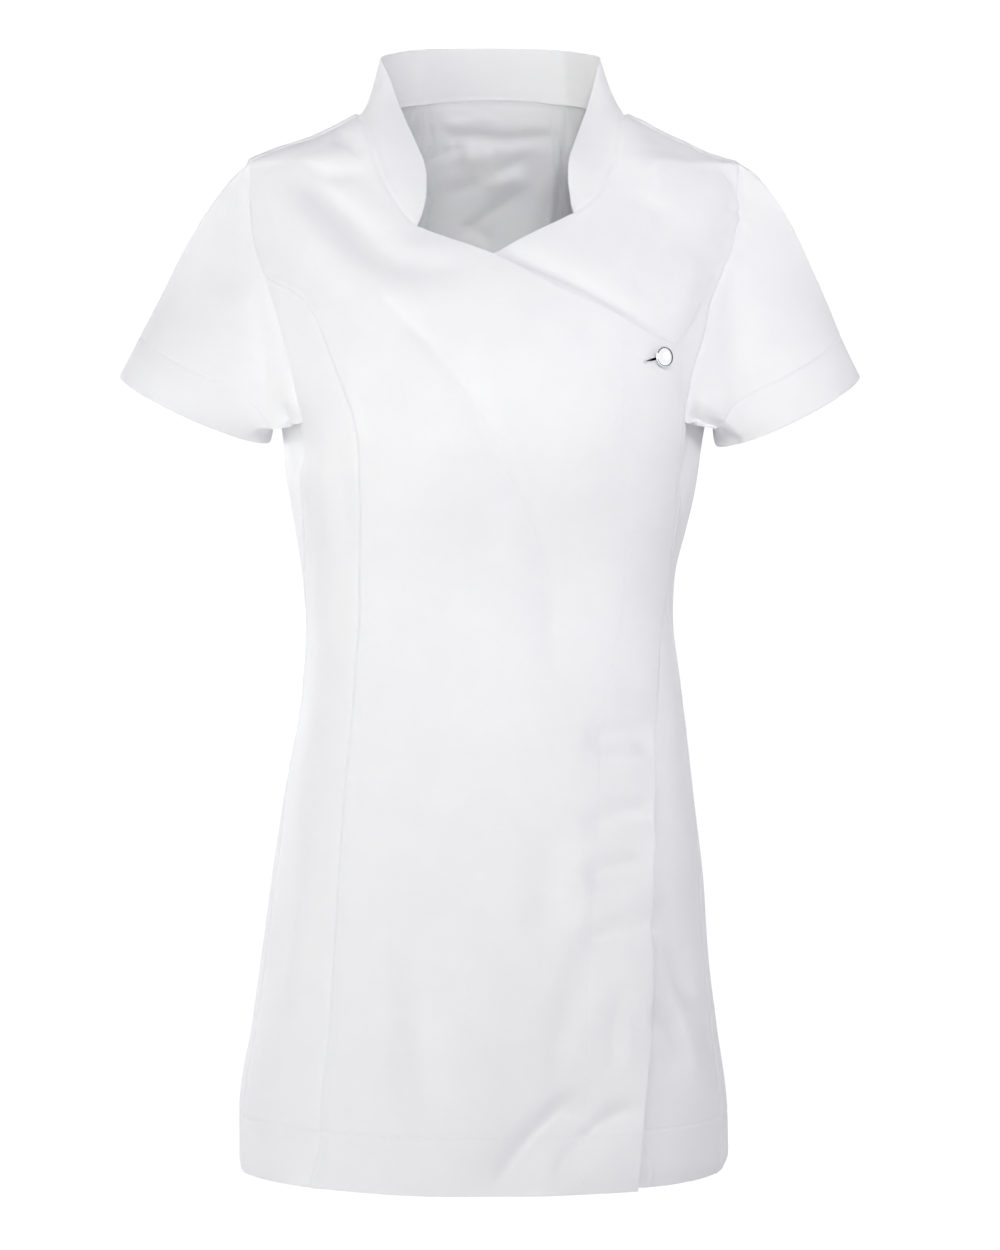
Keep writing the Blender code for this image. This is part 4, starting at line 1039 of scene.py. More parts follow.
def seam_rise(away, passed, seed, raised):
    """A ridge beside a seam, over its allowances, and puckers that die away from it."""
    fall = np.exp(-((np.maximum(away - SEAM_RIDGE_PLACE, 0.0) / SEAM_RIDGE_WIDTH) ** 2))
    ridge = SEAM_RIDGE * raised * smooth_step(away / SEAM_RIDGE_PLACE) * fall
    swell = np.exp(-((away / SEAM_PUCKER_REACH) ** 2)) * smooth_step(away / 2.5)
    return ridge + SEAM_PUCKER * swell * puckers(passed, seed)


def stitched_rise(away, passed, seed, strength=1.0):
    """A line of stitches on a hem: a narrow groove with puckers on both sides."""
    groove = -STITCH_GROOVE * np.exp(-((away / STITCH_GROOVE_WIDTH) ** 2))
    swell = np.exp(-((away / STITCH_PUCKER_REACH) ** 2)) * smooth_step(np.abs(away) / 2.0)
    return groove + STITCH_PUCKER * strength * swell * puckers(passed, seed)


def stepped(away, reach):
    """1 from an edge to reach, then 0."""
    return 1.0 - smooth_step((away - reach) / STEP_WIDTH)


def rolled(away, thickness, roll=ROLL):
    """How far each face of a folded edge bends to the middle of the cloth."""
    near = np.clip(1.0 - away / roll, 0.0, 1.0)
    return ROLL_SHARE * thickness * (1.0 - np.sqrt(1.0 - near ** 2))


print("a seam's allowance is", ALLOWANCE, "mm wide and a hem adds", HEM_CLOTH, "mm of cloth")
# %% Turning points into a sheet of cloth
PIECES = {}
MAP_STEP = 0.37             # metres between the pieces on the cloth's map
CLOTH_SHARP = 62.0


def triangles(mesh):
    return sum(len(face.vertices) - 2 for face in mesh.polygons)


def cloth_mesh(name, outer, inner, around=False):
    """A closed thin shell from an outer and an inner grid in millimetres, with its own UV map."""
    rows, columns = outer.shape[:2]
    layer = rows * columns
    index = np.arange(layer).reshape(rows, columns)
    a = index[:-1, :-1].ravel()
    b = index[:-1, 1:].ravel()
    c = index[1:, 1:].ravel()
    d = index[1:, :-1].ravel()
    if around:
        a = np.concatenate([a, index[:-1, -1]])
        b = np.concatenate([b, index[:-1, 0]])
        c = np.concatenate([c, index[1:, 0]])
        d = np.concatenate([d, index[1:, -1]])
    front = np.stack([a, b, c, d], axis=1)
    back = np.stack([b, a, d, c], axis=1) + layer
    rims = []
    if around:
        for edge, flip in ((index[0], False), (index[-1], True)):
            following = np.roll(edge, -1)
            rim = np.stack([edge, edge + layer, following + layer, following], axis=1)
            rims.append(rim[:, ::-1] if flip else rim)
    else:
        border = np.concatenate([index[0], index[1:, -1], index[-1, -2::-1], index[-2:0:-1, 0]])
        following = np.roll(border, -1)
        rims.append(np.stack([border, border + layer, following + layer, following], axis=1))
    faces = np.concatenate([front, back] + rims)
    vertices = np.concatenate([outer.reshape(-1, 3), inner.reshape(-1, 3)]) * MM
    mesh = bpy.data.meshes.new(name)
    mesh.vertices.add(len(vertices))
    mesh.vertices.foreach_set("co", vertices.astype(np.float32).ravel())
    mesh.loops.add(faces.size)
    mesh.loops.foreach_set("vertex_index", faces.astype(np.int32).ravel())
    mesh.polygons.add(len(faces))
    mesh.polygons.foreach_set("loop_start", np.arange(0, faces.size, 4, dtype=np.int32))
    mesh.update(calc_edges=True)
    across = lengths_along(outer.transpose(1, 0, 2)).T
    up = lengths_along(outer)
    across = across - across.mean(axis=1, keepdims=True)
    flat = np.stack([across, up], axis=-1).reshape(-1, 2) * MM + np.array([MAP_STEP * len(PIECES), 0.0])
    flat = np.concatenate([flat, flat])
    own_map = mesh.uv_layers.new(name="cloth")
    own_map.data.foreach_set("uv", flat[faces.ravel()].astype(np.float32).ravel())
    made = bmesh.new()
    made.from_mesh(mesh)
    bmesh.ops.recalc_face_normals(made, faces=made.faces)
    made.to_mesh(mesh)
    made.free()
    mesh.shade_smooth()
    mesh.set_sharp_from_angle(angle=math.radians(CLOTH_SHARP))
    mesh.materials.append(white_cloth)
    diagonals = np.cross(outer[1:, 1:] - outer[:-1, :-1], outer[1:, :-1] - outer[:-1, 1:])
    area = np.linalg.norm(diagonals, axis=-1).sum() / 2e6
    width = lengths_along(outer.transpose(1, 0, 2))[-1].max()
    length = lengths_along(outer)[-1].max()
    print(f"{name}: {triangles(mesh)} triangles, {width:.0f} x {length:.0f} mm, {area:.4f} m2")
    PIECES[name] = add_object(name, mesh)
    return PIECES[name]


# %% [markdown]
# ## Panels of the body
# Each panel is a grid between its two seams. Its outer face is the form, moved out by folds,
# creases and seam details. Its inner face is the outer one moved in by the thickness, which
# grows where cloth is doubled. The right front crosses over the left one, so it is lifted by
# the thickness of its folded edge. Along the placket's stitch line it sinks into a narrow
# groove, as stitched layers do.

# %% Panel grids
LAYER_LIFT = 1.7
EDGE_FLARE = 4.5            # the free edge stands off this much more on the skirt
EDGE_FLARE_REACH = 75.0
EDGE_FLARE_TOP = -330.0
EDGE_FLARE_RANGE = 220.0
UNDER_SINK = (              # height, how deep the left panels sink beside the right front's edge
    (-757.0, 2.2),
    (-450.0, 1.8),
    (-370.0, 0.4),
    (-185.0, 0.3),
    (-150.0, 1.3),
    (-90.0, 1.1),
)
UNDER_SINK_WIDTH = 13.0
UNDER_SINK_START = 5.0      # forward of the shoulders, fading in over the next value
UNDER_SINK_RANGE = 20.0
SIDE_SHARE = 0.42           # of a narrow row, that the close columns at its two sides may fill
LIFT_STARTS = (-91.0, 23.0)
LIFT_BELOW_NECK = (-88.0, 16.0)
PLACKET_LINE = ((95, -241), (98.6, -255.4), (95, -349), (82.8, -421), (77, -493), (72, -578), (69.8, -628.4),
                (68.9, -678), (67, -728.4))

right_edge_x = smooth_table([row[1] for row in RIGHT_EDGE], [row[0] for row in RIGHT_EDGE])
under_sink = smooth_table(*zip(*UNDER_SINK))


def overlap_lift(angle, height):
    """The right front rises over the left front, and stands off at its free edge."""
    x = form_point(angle, height)[..., 0]
    past_edge = smooth_step((x - LIFT_STARTS[0]) / LIFT_STARTS[1])
    below_neck = smooth_step((LIFT_BELOW_NECK[0] - height) / LIFT_BELOW_NECK[1])
    near_edge = np.clip(1.0 - (right_edge_x(height) - x) / EDGE_FLARE_REACH, 0.0, 1.0)
    low = smooth_step((EDGE_FLARE_TOP - height) / EDGE_FLARE_RANGE)
    return LAYER_LIFT * past_edge * below_neck + EDGE_FLARE * low * near_edge ** 1.6


def sink_under_edge(angle, height):
    """The left panels are drawn in a little along the right front's edge and neckline."""
    point = form_point(angle, height)
    line = even_path(RIGHT_EDGE + RIGHT_NECKLINE[1:-1], 260)
    away = np.full(point.shape[:-1], 1e6)
    for x, z in line:
        away = np.minimum(away, (point[..., 0] - x) ** 2 + (point[..., 2] - z) ** 2)
    in_front = smooth_step((-point[..., 1] - UNDER_SINK_START) / UNDER_SINK_RANGE)
    return -under_sink(height) * in_front * np.exp(-away / UNDER_SINK_WIDTH ** 2)


def patch(left, right, left_offsets, right_offsets, top_bulge=None):
    """Rows of (angle, height) places from the left path to the right one."""
    ends = form_point(np.stack([left[:, 0], right[:, 0]], 1), np.stack([left[:, 1], right[:, 1]], 1))
    sag = np.linspace(0.0, 1.0, 9)[None, :, None]
    between = left[:, None, :] * (1.0 - sag) + right[:, None, :] * sag
    widths = lengths_along(form_point(between[..., 0], between[..., 1]).transpose(1, 0, 2))[-1]
    widths = np.maximum(widths, np.linalg.norm(ends[:, 0] - ends[:, 1], axis=-1))
    scales = np.minimum(1.0, SIDE_SHARE * widths / (left_offsets[-1] + right_offsets[-1]))
    widest = np.argmax(widths)
    even_width = widths[widest] - right_offsets[-1] * scales[widest] - left_offsets[-1] * scales[widest]
    steps = max(2, int(round(even_width / PLAIN_STEP)))
    shares = []
    for width, scale in zip(widths, scales):
        low = np.array(left_offsets) * scale / width
        high = 1.0 - np.array(right_offsets)[::-1] * scale / width
        shares.append(np.concatenate([low, np.linspace(low[-1], high[0], steps + 1)[1:-1], high]))
    share = np.array(shares)[..., None]
    rows = left[:, None, :] * (1.0 - share) + right[:, None, :] * share
    if top_bulge is not None:
        rise = np.linspace(0.0, 1.0, len(left)) ** TOP_BULGE_POWER
        rows[:, :, 1] += rise[:, None] * top_bulge(share[..., 0])
    return rows


def hang(rows):
    """Lets the hem drop a little in the middle of the front."""
    near_hem = np.zeros(len(rows))
    near_hem[:len(SKIRT_SHARES)] = np.clip(1.0 - SKIRT_SHARES, 0.0, 1.0) ** 3
    in_front = np.clip(np.sin(np.radians(rows[:, :, 0])), 0.0, 1.0) ** 2
    rows[:, :, 1] -= HEM_DROP * near_hem[:, None] * in_front
    return rows


print("right front lies", LAYER_LIFT, "mm above the left one")


# %% Making one panel
EDGE_PUCKER = 0.22
EDGE_PUCKER_REACH = 8.0
FACING_CLOTH = 0.60
FACING_DEPTH = 32.0
HEM_LAP = 1.0               # the turned-up cloth ends this far past its stitches
STUD_PLACE = (93.6, -241.0)
STUD_RADIUS = 4.6
STUD_RIM = 0.3
STUD_RIM_WIDTH = 1.3


def base_of(places, lift=None):
    """The form's points and normals at (angle, height) places, and how far folds push them out."""
    point = form_point(places[..., 0], places[..., 1])
    normal = form_normal(places[..., 0], places[..., 1])
    rise = fold_rise(point) + drape_rise(point, normal)
    if lift is not None:
        rise = rise + lift(places[..., 0], places[..., 1])
    return point, normal, rise


def flat_line_distance(spots, places):
    """Distance and length passed for flat spots beside a line of (x, z) places."""
    line = even_path(places, 400)
    passed = lengths_along(line)
    tree = tree_of([(spot[0], 0.0, spot[1]) for spot in line])
    found = [tree.find((spot[0], 0.0, spot[1])) for spot in spots]
    index = np.array([hit[1] for hit in found])
    return np.array([hit[2] for hit in found]), passed[index]


def make_panel(name, places, seams, hem_edge, free=(), lift=None, placket=False):
    """One panel; seams, hem_edge and free are index paths into the grid, seams with their ridge."""
    point, normal, rise = base_of(places, lift)
    flat = point.reshape(-1, 3)
    shape = point.shape[:2]
    seam_away, seam_passed, seam_seed, raised = nearest_of(
        [Edge(point[path], 3.1 * k + len(name), ridge) for k, (path, ridge) in enumerate(seams)], flat)
    hem_away, hem_passed, _, _ = nearest_of([Edge(point[hem_edge], 1.0)], flat)
    grown = seam_rise(seam_away, seam_passed, seam_seed, raised)
    grown += stitched_rise(hem_away - HEM_LENGTH, hem_passed + 7.0 * len(name), 2.0)
    thickness = CLOTH + HEM_CLOTH * stepped(hem_away, HEM_LENGTH + HEM_LAP)
    thickness = thickness + ALLOWANCE_CLOTH * stepped(seam_away, ALLOWANCE)
    edge_away = hem_away
    if free:
        free_away, free_passed, free_seed, _ = nearest_of(
            [Edge(point[path], 5.0 + k) for k, path in enumerate(free)], flat)
        near_free = np.exp(-((free_away / EDGE_PUCKER_REACH) ** 2))
        grown += EDGE_PUCKER * near_free * puckers(free_passed, free_seed)
        thickness = np.maximum(thickness, CLOTH + FACING_CLOTH * stepped(free_away, FACING_DEPTH))
        edge_away = np.minimum(edge_away, free_away)
    if placket:
        seen = seen_from_front(flat)
        line_away, line_passed = flat_line_distance(seen, PLACKET_LINE)
        grown += stitched_rise(line_away, line_passed, 4.0, 1.3)
        from_stud = np.hypot(seen[:, 0] - STUD_PLACE[0], seen[:, 1] - STUD_PLACE[1])
        grown += STUD_RIM * np.exp(-(((from_stud - STUD_RADIUS) / STUD_RIM_WIDTH) ** 2))
    thickness = np.minimum(thickness, MOST_CLOTH)
    bend = rolled(edge_away, thickness)
    outer_rise = (rise.ravel() + grown - bend).reshape(shape)
    inner_rise = (rise.ravel() + grown - thickness + bend).reshape(shape)
    outer = point + normal * outer_rise[..., None]
    inner = point + normal * inner_rise[..., None]
    thing = cloth_mesh(name, outer, inner)
    return SimpleNamespace(thing=thing, outer=outer, inner=inner, hem_away=hem_away.reshape(shape))


ALL = slice(None)

# %% Fronts
neckline_start = SKIRT_ROWS
collar_start = SKIRT_ROWS + NECKLINE_ROWS
princess_end = SKIRT_ROWS + BUST_ROWS + 1
ROLL_COLUMNS = ROLL_OFFSETS + (6.0, 8.0)
FRONT_SEAMS = [             # grid path, and how much the seam's allowances raise this side
    ((slice(0, princess_end), 0), 1.0),
    ((slice(princess_end, None), 0), 0.4),
    ((slice(collar_start, None), -1), 0.35),
    ((-1, ALL), 0.2),
]
LEFT_FRONT_SEAMS = [(FRONT_SEAMS[0][0], 0.25)] + FRONT_SEAMS[1:]      # flatter, under the right front
FRONT_FREE = [(slice(0, neckline_start + 1), -1), (slice(neckline_start, collar_start + 1), -1)]

right_outline = join_paths(front_princess_path(1), mirrored(upper_armhole_path()))
right_free = front_edge_path(RIGHT_EDGE, RIGHT_NECKLINE, RIGHT_COLLAR_SEAM, 180.0 - SHOULDER_ANGLE)
right_places = hang(patch(right_outline, right_free, SEAM_OFFSETS, ROLL_COLUMNS))
right_front = make_panel(
    "right_front_cloth", right_places,
    seams=FRONT_SEAMS, hem_edge=(0, ALL), free=FRONT_FREE, lift=overlap_lift, placket=True)

left_outline = join_paths(front_princess_path(2), upper_armhole_path())
left_free = front_edge_path(LEFT_EDGE, LEFT_NECKLINE, LEFT_COLLAR_SEAM, SHOULDER_ANGLE)
left_places = hang(patch(left_outline, left_free, SEAM_OFFSETS, ROLL_COLUMNS))
left_front = make_panel(
    "left_front_cloth", left_places,
    seams=LEFT_FRONT_SEAMS, hem_edge=(0, ALL), free=FRONT_FREE, lift=sink_under_edge)

# %% Side fronts
side_front_outline = join_paths(side_seam_path(), lower_armhole_path())
side_fronts = {}
for side, column in (("left", 2), ("right", 1)):
    outline = side_front_outline if side == "left" else mirrored(side_front_outline)
    places = hang(patch(outline, front_princess_path(column), SEAM_OFFSETS, SEAM_OFFSETS))
    side_fronts[side] = make_panel(
        side + "_side_front_cloth", places, seams=[((ALL, 0), 0.3), ((ALL, -1), 0.1)],
        hem_edge=(0, ALL), lift=sink_under_edge if side == "left" else None)

# %% Backs
back_princess = back_princess_path()
other_princess = mirrored(back_princess)
other_princess[:, 0] -= 360.0
neck_curve = smooth_table(*zip(*BACK_NECK_BULGE))
centre_places = hang(patch(back_princess, other_princess, SEAM_OFFSETS, SEAM_OFFSETS, neck_curve))
centre_back = make_panel(
    "centre_back_cloth", centre_places,
    seams=[((ALL, 0), 0.6), ((ALL, -1), 0.6), ((-1, ALL), 0.3)], hem_edge=(0, ALL))

side_back_outline = join_paths(side_seam_path(), back_armhole_path())
side_back_inner = join_paths(back_princess, back_neck_path())
side_backs = {}
for side in ("left", "right"):
    outline = side_back_outline if side == "left" else mirrored(side_back_outline)
    seam_path = side_back_inner if side == "left" else mirrored(side_back_inner)
    places = hang(patch(outline, seam_path, SEAM_OFFSETS, SEAM_OFFSETS))
    side_backs[side] = make_panel(
        side + "_side_back_cloth", places, hem_edge=(0, ALL),
        seams=[((slice(0, SKIRT_ROWS + 1), 0), 0.5), ((slice(SKIRT_ROWS + 1, None), 0), 0.2),
               ((ALL, -1), 0.15), ((-1, ALL), 1.2)])

# %% [markdown]
# ## Sleeves
# A set-in sleeve is a tube whose top is cut as a curved cap, a little longer than the
# armhole, so the cap stands slightly full. Each line of the sleeve starts at the armhole
# seam, leaves the shoulder sideways and turns down to the hem. The hem is turned up and
# stitched, as on the skirt. Under the arm the sleeve is shorter than that hem is deep, so
# there the hem narrows to a share of its depth that leaves room above it.

# %% Sleeve cloth
SLEEVE_FINE = 80
SLEEVE_ROWS = 26            # between the armhole's close rows and the hem's
SLEEVE_HEM_ROWS = 7
SLEEVE_TOP_SHARE = 0.75     # of the sleeve above its hem, that the armhole's close rows may fill
SLEEVE_FOLD_START = 14.0    # over which the armhole's folds give way to the sleeve's own
MITRE = 4.0
CAP_FULLNESS = 1.3
CAP_START = 9.0
CAP_REACH = 26.0
GATHERS = 0.24
GATHERS_START = 3.0
GATHERS_REACH = 12.0
GATHER_WIDTH = 2.1


def armhole_loop(side):
    """The whole armhole of one side, down the front and up the back."""
    down = join_paths(upper_armhole_path()[::-1], lower_armhole_path()[::-1])
    loop = join_paths(down, back_armhole_path())[:-1]
    return mirrored(loop) if side == "right" else loop


def sleeve_lines(side):
    """Lines from the armhole to the hem, in millimetres, the angle round the sleeve, and the
    armhole's way out and its creases, which die away a little below the seam."""
    loop = armhole_loop(side)
    point, normal, rise = base_of(loop[None])
    folds = fold_rise(point)[0]
    start = point[0] + normal[0] * folds[:, None]
    seat = point[0]
    turn = np.arctan2((ARMHOLE_CENTRE[0] - seat[:, 1]) / ARMHOLE_REACH[0],
                      (seat[:, 2] - ARMHOLE_CENTRE[1]) / ARMHOLE_REACH[1])
    flip = np.array([1.0 if side == "left" else -1.0, 1.0, 1.0])
    centre, out, front, leave = (np.array(row) * flip for row in SLEEVE_HEM[side])
    end = centre + np.cos(turn)[:, None] * out + np.sin(turn)[:, None] * front
    span = np.linalg.norm(end - start, axis=1, keepdims=True)
    arrive = np.array(SLEEVE_END) * flip
    lines = []
    for t in np.linspace(0.0, 1.0, SLEEVE_FINE + 1):
        ring = (1.0 + 2.0 * t) * (1.0 - t) ** 2 * start + t * (1.0 - t) ** 2 * span * leave
        lines.append(ring + t * t * (3.0 - 2.0 * t) * end + t * t * (t - 1.0) * span * arrive)
    return np.array(lines), turn, normal[0], rise[0] - folds


def make_sleeve(side):
    """One sleeve: rows along each line from the armhole to the hem, then seam, cap and hem."""
    name = side + "_sleeve_cloth"
    lines, turn, seam_normal, seam_creases = sleeve_lines(side)
    passed = lengths_along(lines)
    columns = []
    away_rows = []
    hem_rows = []
    for column in range(lines.shape[1]):
        total = passed[-1, column]
        hem_share = (1.0 + (2.0 * SLEEVE_HEM_LENGTH / total) ** 4) ** -0.25
        stitch = total + (np.array(STITCH_OFFSETS) - SLEEVE_HEM_LENGTH) * hem_share
        top = np.array(SEAM_OFFSETS) * min(1.0, SLEEVE_TOP_SHARE * stitch[0] / SEAM_OFFSETS[-1])
        upper = np.linspace(top[-1], stitch[0], SLEEVE_ROWS + 2)[1:-1]
        hem = total - np.array(ROLL_OFFSETS)[::-1]
        inside = np.linspace(stitch[-1], hem[0], SLEEVE_HEM_ROWS + 2)[1:-1]
        wanted = np.concatenate([top, upper, stitch, inside, hem])
        columns.append(points_at(wanted, passed[:, column], lines[:, column]))
        away_rows.append(total - wanted)
        hem_rows.append((total - wanted) / hem_share)
    grid = np.stack(columns, axis=1)
    away_rows = np.stack(away_rows, axis=1)
    hem_rows = np.stack(hem_rows, axis=1)
    round_step = np.roll(grid, -1, axis=1) - np.roll(grid, 1, axis=1)
    normal = unit(np.cross(np.gradient(grid, axis=0), round_step))
    middle = grid.mean(axis=1, keepdims=True)
    normal *= np.sign(((grid - middle) * normal).sum(axis=(1, 2), keepdims=True))
    from_seam = passed[-1][None, :] - away_rows
    agree = np.clip((normal[0] * seam_normal).sum(axis=-1), 0.0, 1.0)[None, :, None]
    mitre = (1.0 - smooth_step(from_seam / MITRE))[..., None] * agree
    normal = unit(normal * (1.0 - mitre) + seam_normal[None] * mitre)
    round_passed = lengths_along(np.concatenate([grid[-1], grid[-1][:1]]))[:-1]
    seam_passed = lengths_along(np.concatenate([grid[0], grid[0][:1]]))[:-1]
    own_folds = smooth_step(from_seam / SLEEVE_FOLD_START)
    grown = drape_rise(grid, normal) * own_folds
    grown += seam_rise(from_seam, seam_passed[None] + 0.0 * from_seam, 6.0 + len(name), 0.25)
    cap = np.clip(np.cos(turn), 0.0, 1.0) ** 1.5
    fullness = smooth_step(from_seam / CAP_START) * np.exp(-((from_seam / CAP_REACH) ** 2))
    grown += CAP_FULLNESS * cap[None] * fullness
    gathers = GATHERS * cap[None] * np.exp(-((from_seam / GATHERS_REACH) ** 2))
    gathers = gathers * smooth_step(from_seam / GATHERS_START)
    grown += gathers * np.sin(seam_passed[None] / GATHER_WIDTH + np.sin(seam_passed[None] / 17.0))
    grown += stitched_rise(hem_rows - SLEEVE_HEM_LENGTH, round_passed[None] + 0.0 * away_rows, 2.5)
    thickness = CLOTH + HEM_CLOTH * stepped(hem_rows, SLEEVE_HEM_LENGTH + HEM_LAP)
    thickness += ALLOWANCE_CLOTH * stepped(from_seam, ALLOWANCE)
    thickness = np.minimum(thickness, MOST_CLOTH)
    bend = rolled(away_rows, thickness)
    grid = grid + seam_normal[None] * (seam_creases[None] * (1.0 - own_folds))[..., None]
    outer = grid + normal * (grown - bend)[..., None]
    inner = grid + normal * (grown - thickness + bend)[..., None]
    thing = cloth_mesh(name, outer, inner, around=True)
    return SimpleNamespace(thing=thing, outer=outer, inner=inner, hem_away=hem_rows)


sleeves = {side: make_sleeve(side) for side in ("left", "right")}

# %% [markdown]
# ## Collar
# The stand collar is two layers of cloth round a stiffener, sewn to the neck edge. It is a
# single strip whose free edge rises at the back and is rounded at the two front ends. Its
# folded edge is round in section, and the strip bulges a little between its edges.

# %% Collar cloth
COLLAR_CLOTH = 1.5
COLLAR_CROWN = 0.9          # where the collar is as high as the next value, and less where it is lower
COLLAR_CROWN_HEIGHT = 20.0
COLLAR_ROLL = 1.0
COLLAR_SHARES = np.array([0.0, 0.012, 0.03, 0.055, 0.09, 0.14, 0.2, 0.27, 0.34, 0.42, 0.5, 0.58, 0.66, 0.74,
                          0.81, 0.87, 0.92, 0.95, 0.97, 0.985, 0.995, 1.0])
COLLAR_RIDGE = 0.35         # over the allowances that are turned up into the collar
COLLAR_RIDGE_PLACE = 3.0
COLLAR_RIDGE_WIDTH = 2.0
COLLAR_PUCKER = 0.10
COLLAR_WAVE = 0.14


def collar_seam():
    """The whole collar seam from the right front end round the back to the left one."""
    right_front_part = right_places[collar_start:, -1]
    right_back = mirrored(back_neck_path())[::-1]
    centre = centre_places[-1][::-1].copy()
    centre[:, 0] = np.where(centre[:, 0] < -180.0, centre[:, 0] + 360.0, centre[:, 0])
    left_back = back_neck_path()
    left_front_part = left_places[collar_start:, -1][::-1]
    parts = []
    for part in (right_front_part, right_back, centre, left_back, left_front_part):
        point, normal, rise = base_of(part[None])
        parts.append(point[0] + normal[0] * rise[0][:, None])
    return join_paths(*parts), len(right_front_part) + len(right_back) - 2 + len(centre) // 2


def make_collar():
    """The collar: rises from its seam to its free edge, two layers thick."""
    base, middle = collar_seam()
    passed = lengths_along(base)
    centre_passed = np.interp(0.0, base[middle - 6:middle + 7, 0], passed[middle - 6:middle + 7])
    share = np.where(passed < centre_passed, (passed - centre_passed) / centre_passed,
                     (passed - centre_passed) / (passed[-1] - centre_passed))
    free_edge = np.array([(-row[0],) + row[1:] for row in COLLAR_EDGE_RIGHT[:0:-1]] + list(COLLAR_EDGE_LEFT))
    top = np.stack([smooth_table(free_edge[:, 0], free_edge[:, k])(share) for k in (1, 2, 3)], axis=1)
    rise = top - base
    grid = base[None] + rise[None] * COLLAR_SHARES[:, None, None]
    outward = unit(np.cross(np.broadcast_to(rise, grid.shape), np.gradient(grid, axis=1)))
    outward *= np.sign(((grid - grid.mean(axis=(0, 1))) * outward).sum(axis=-1).mean())
    height = np.linalg.norm(rise, axis=1)[None]
    from_edge = (1.0 - COLLAR_SHARES)[:, None] * height
    from_foot = COLLAR_SHARES[:, None] * height
    end_away = np.minimum(passed, passed[-1] - passed)[None] + 0.0 * from_edge
    bulge = np.sin(math.pi * COLLAR_SHARES)[:, None]
    crown = COLLAR_CROWN * bulge * np.minimum(1.0, height / COLLAR_CROWN_HEIGHT)
    over_foot = np.exp(-(((from_foot - COLLAR_RIDGE_PLACE) / COLLAR_RIDGE_WIDTH) ** 2))
    crown = crown + COLLAR_RIDGE * over_foot * smooth_step(from_foot / 1.5)
    near_foot = np.exp(-((from_foot / 8.0) ** 2)) * smooth_step(from_foot / 2.0)
    crown = crown + COLLAR_PUCKER * near_foot * puckers(passed, 3.0)[None]
    crown = crown + COLLAR_WAVE * np.sin(passed / 15.0 + 1.0)[None] * bulge
    bend = rolled(np.minimum(from_edge, end_away), COLLAR_CLOTH, COLLAR_ROLL)
    outer = grid + outward * (crown - bend)[..., None]
    inner = grid + outward * (crown - COLLAR_CLOTH + bend)[..., None]
    cloth_mesh("collar_cloth", outer, inner)


make_collar()

# %% [markdown]
# ## Stitches
# Sewing is a rule repeated: a short thread every few millimetres along a line. So the lines
# are traced on the finished cloth first, and then one Geometry Nodes tree puts a thread on
# each place and turns it the way that the line runs. Inside, the cut edges of the seams are
# oversewn so that they don't fray, with threads that slant to and fro across the edge.

# %% Lines on the cloth
def crossing(grid, values, level):
    """Where a value on a grid of points passes a level, one point for each column."""
    below = values < level
    columns = np.where(below[0] != below[-1])[0]
    points = []
    for column in columns:
        row = int(np.argmax(below[:, column] != below[0, column]))
        low, high = values[row - 1, column], values[row, column]
        share = (level - low) / (high - low)
        points.append(grid[row - 1, column] * (1.0 - share) + grid[row, column] * share)
    return np.array(points)


def threads_along(points, pitch):
    """Places every pitch along a line, with the way that the line runs there."""
    passed = lengths_along(points)
    wanted = np.arange(pitch / 2.0, passed[-1], pitch)
    ahead = points_at(wanted + 0.5, passed, points)
    behind = points_at(wanted - 0.5, passed, points)
    return points_at(wanted, passed, points), unit(ahead - behind)


def spread_over(rows, count):
    """Rows of values along a line, spread evenly over another number of places."""
    return points_at(np.linspace(0, 1, count), np.linspace(0, 1, len(rows)), rows)


def away_from_middle(points):
    """A rough way out of the garment at points of it, level."""
    return unit(points * np.array([1.0, 1.0, 0.0]))


print("lines are traced where a distance on the cloth passes a value")
# %% Threads by Geometry Nodes
THREAD_LENGTH = 2.0
THREAD_THICKNESS = 0.30
THREAD_UNEVENNESS = 0.12
THREAD_SIDES = 6
THREAD_RINGS = 4
STITCH_SEED = 11


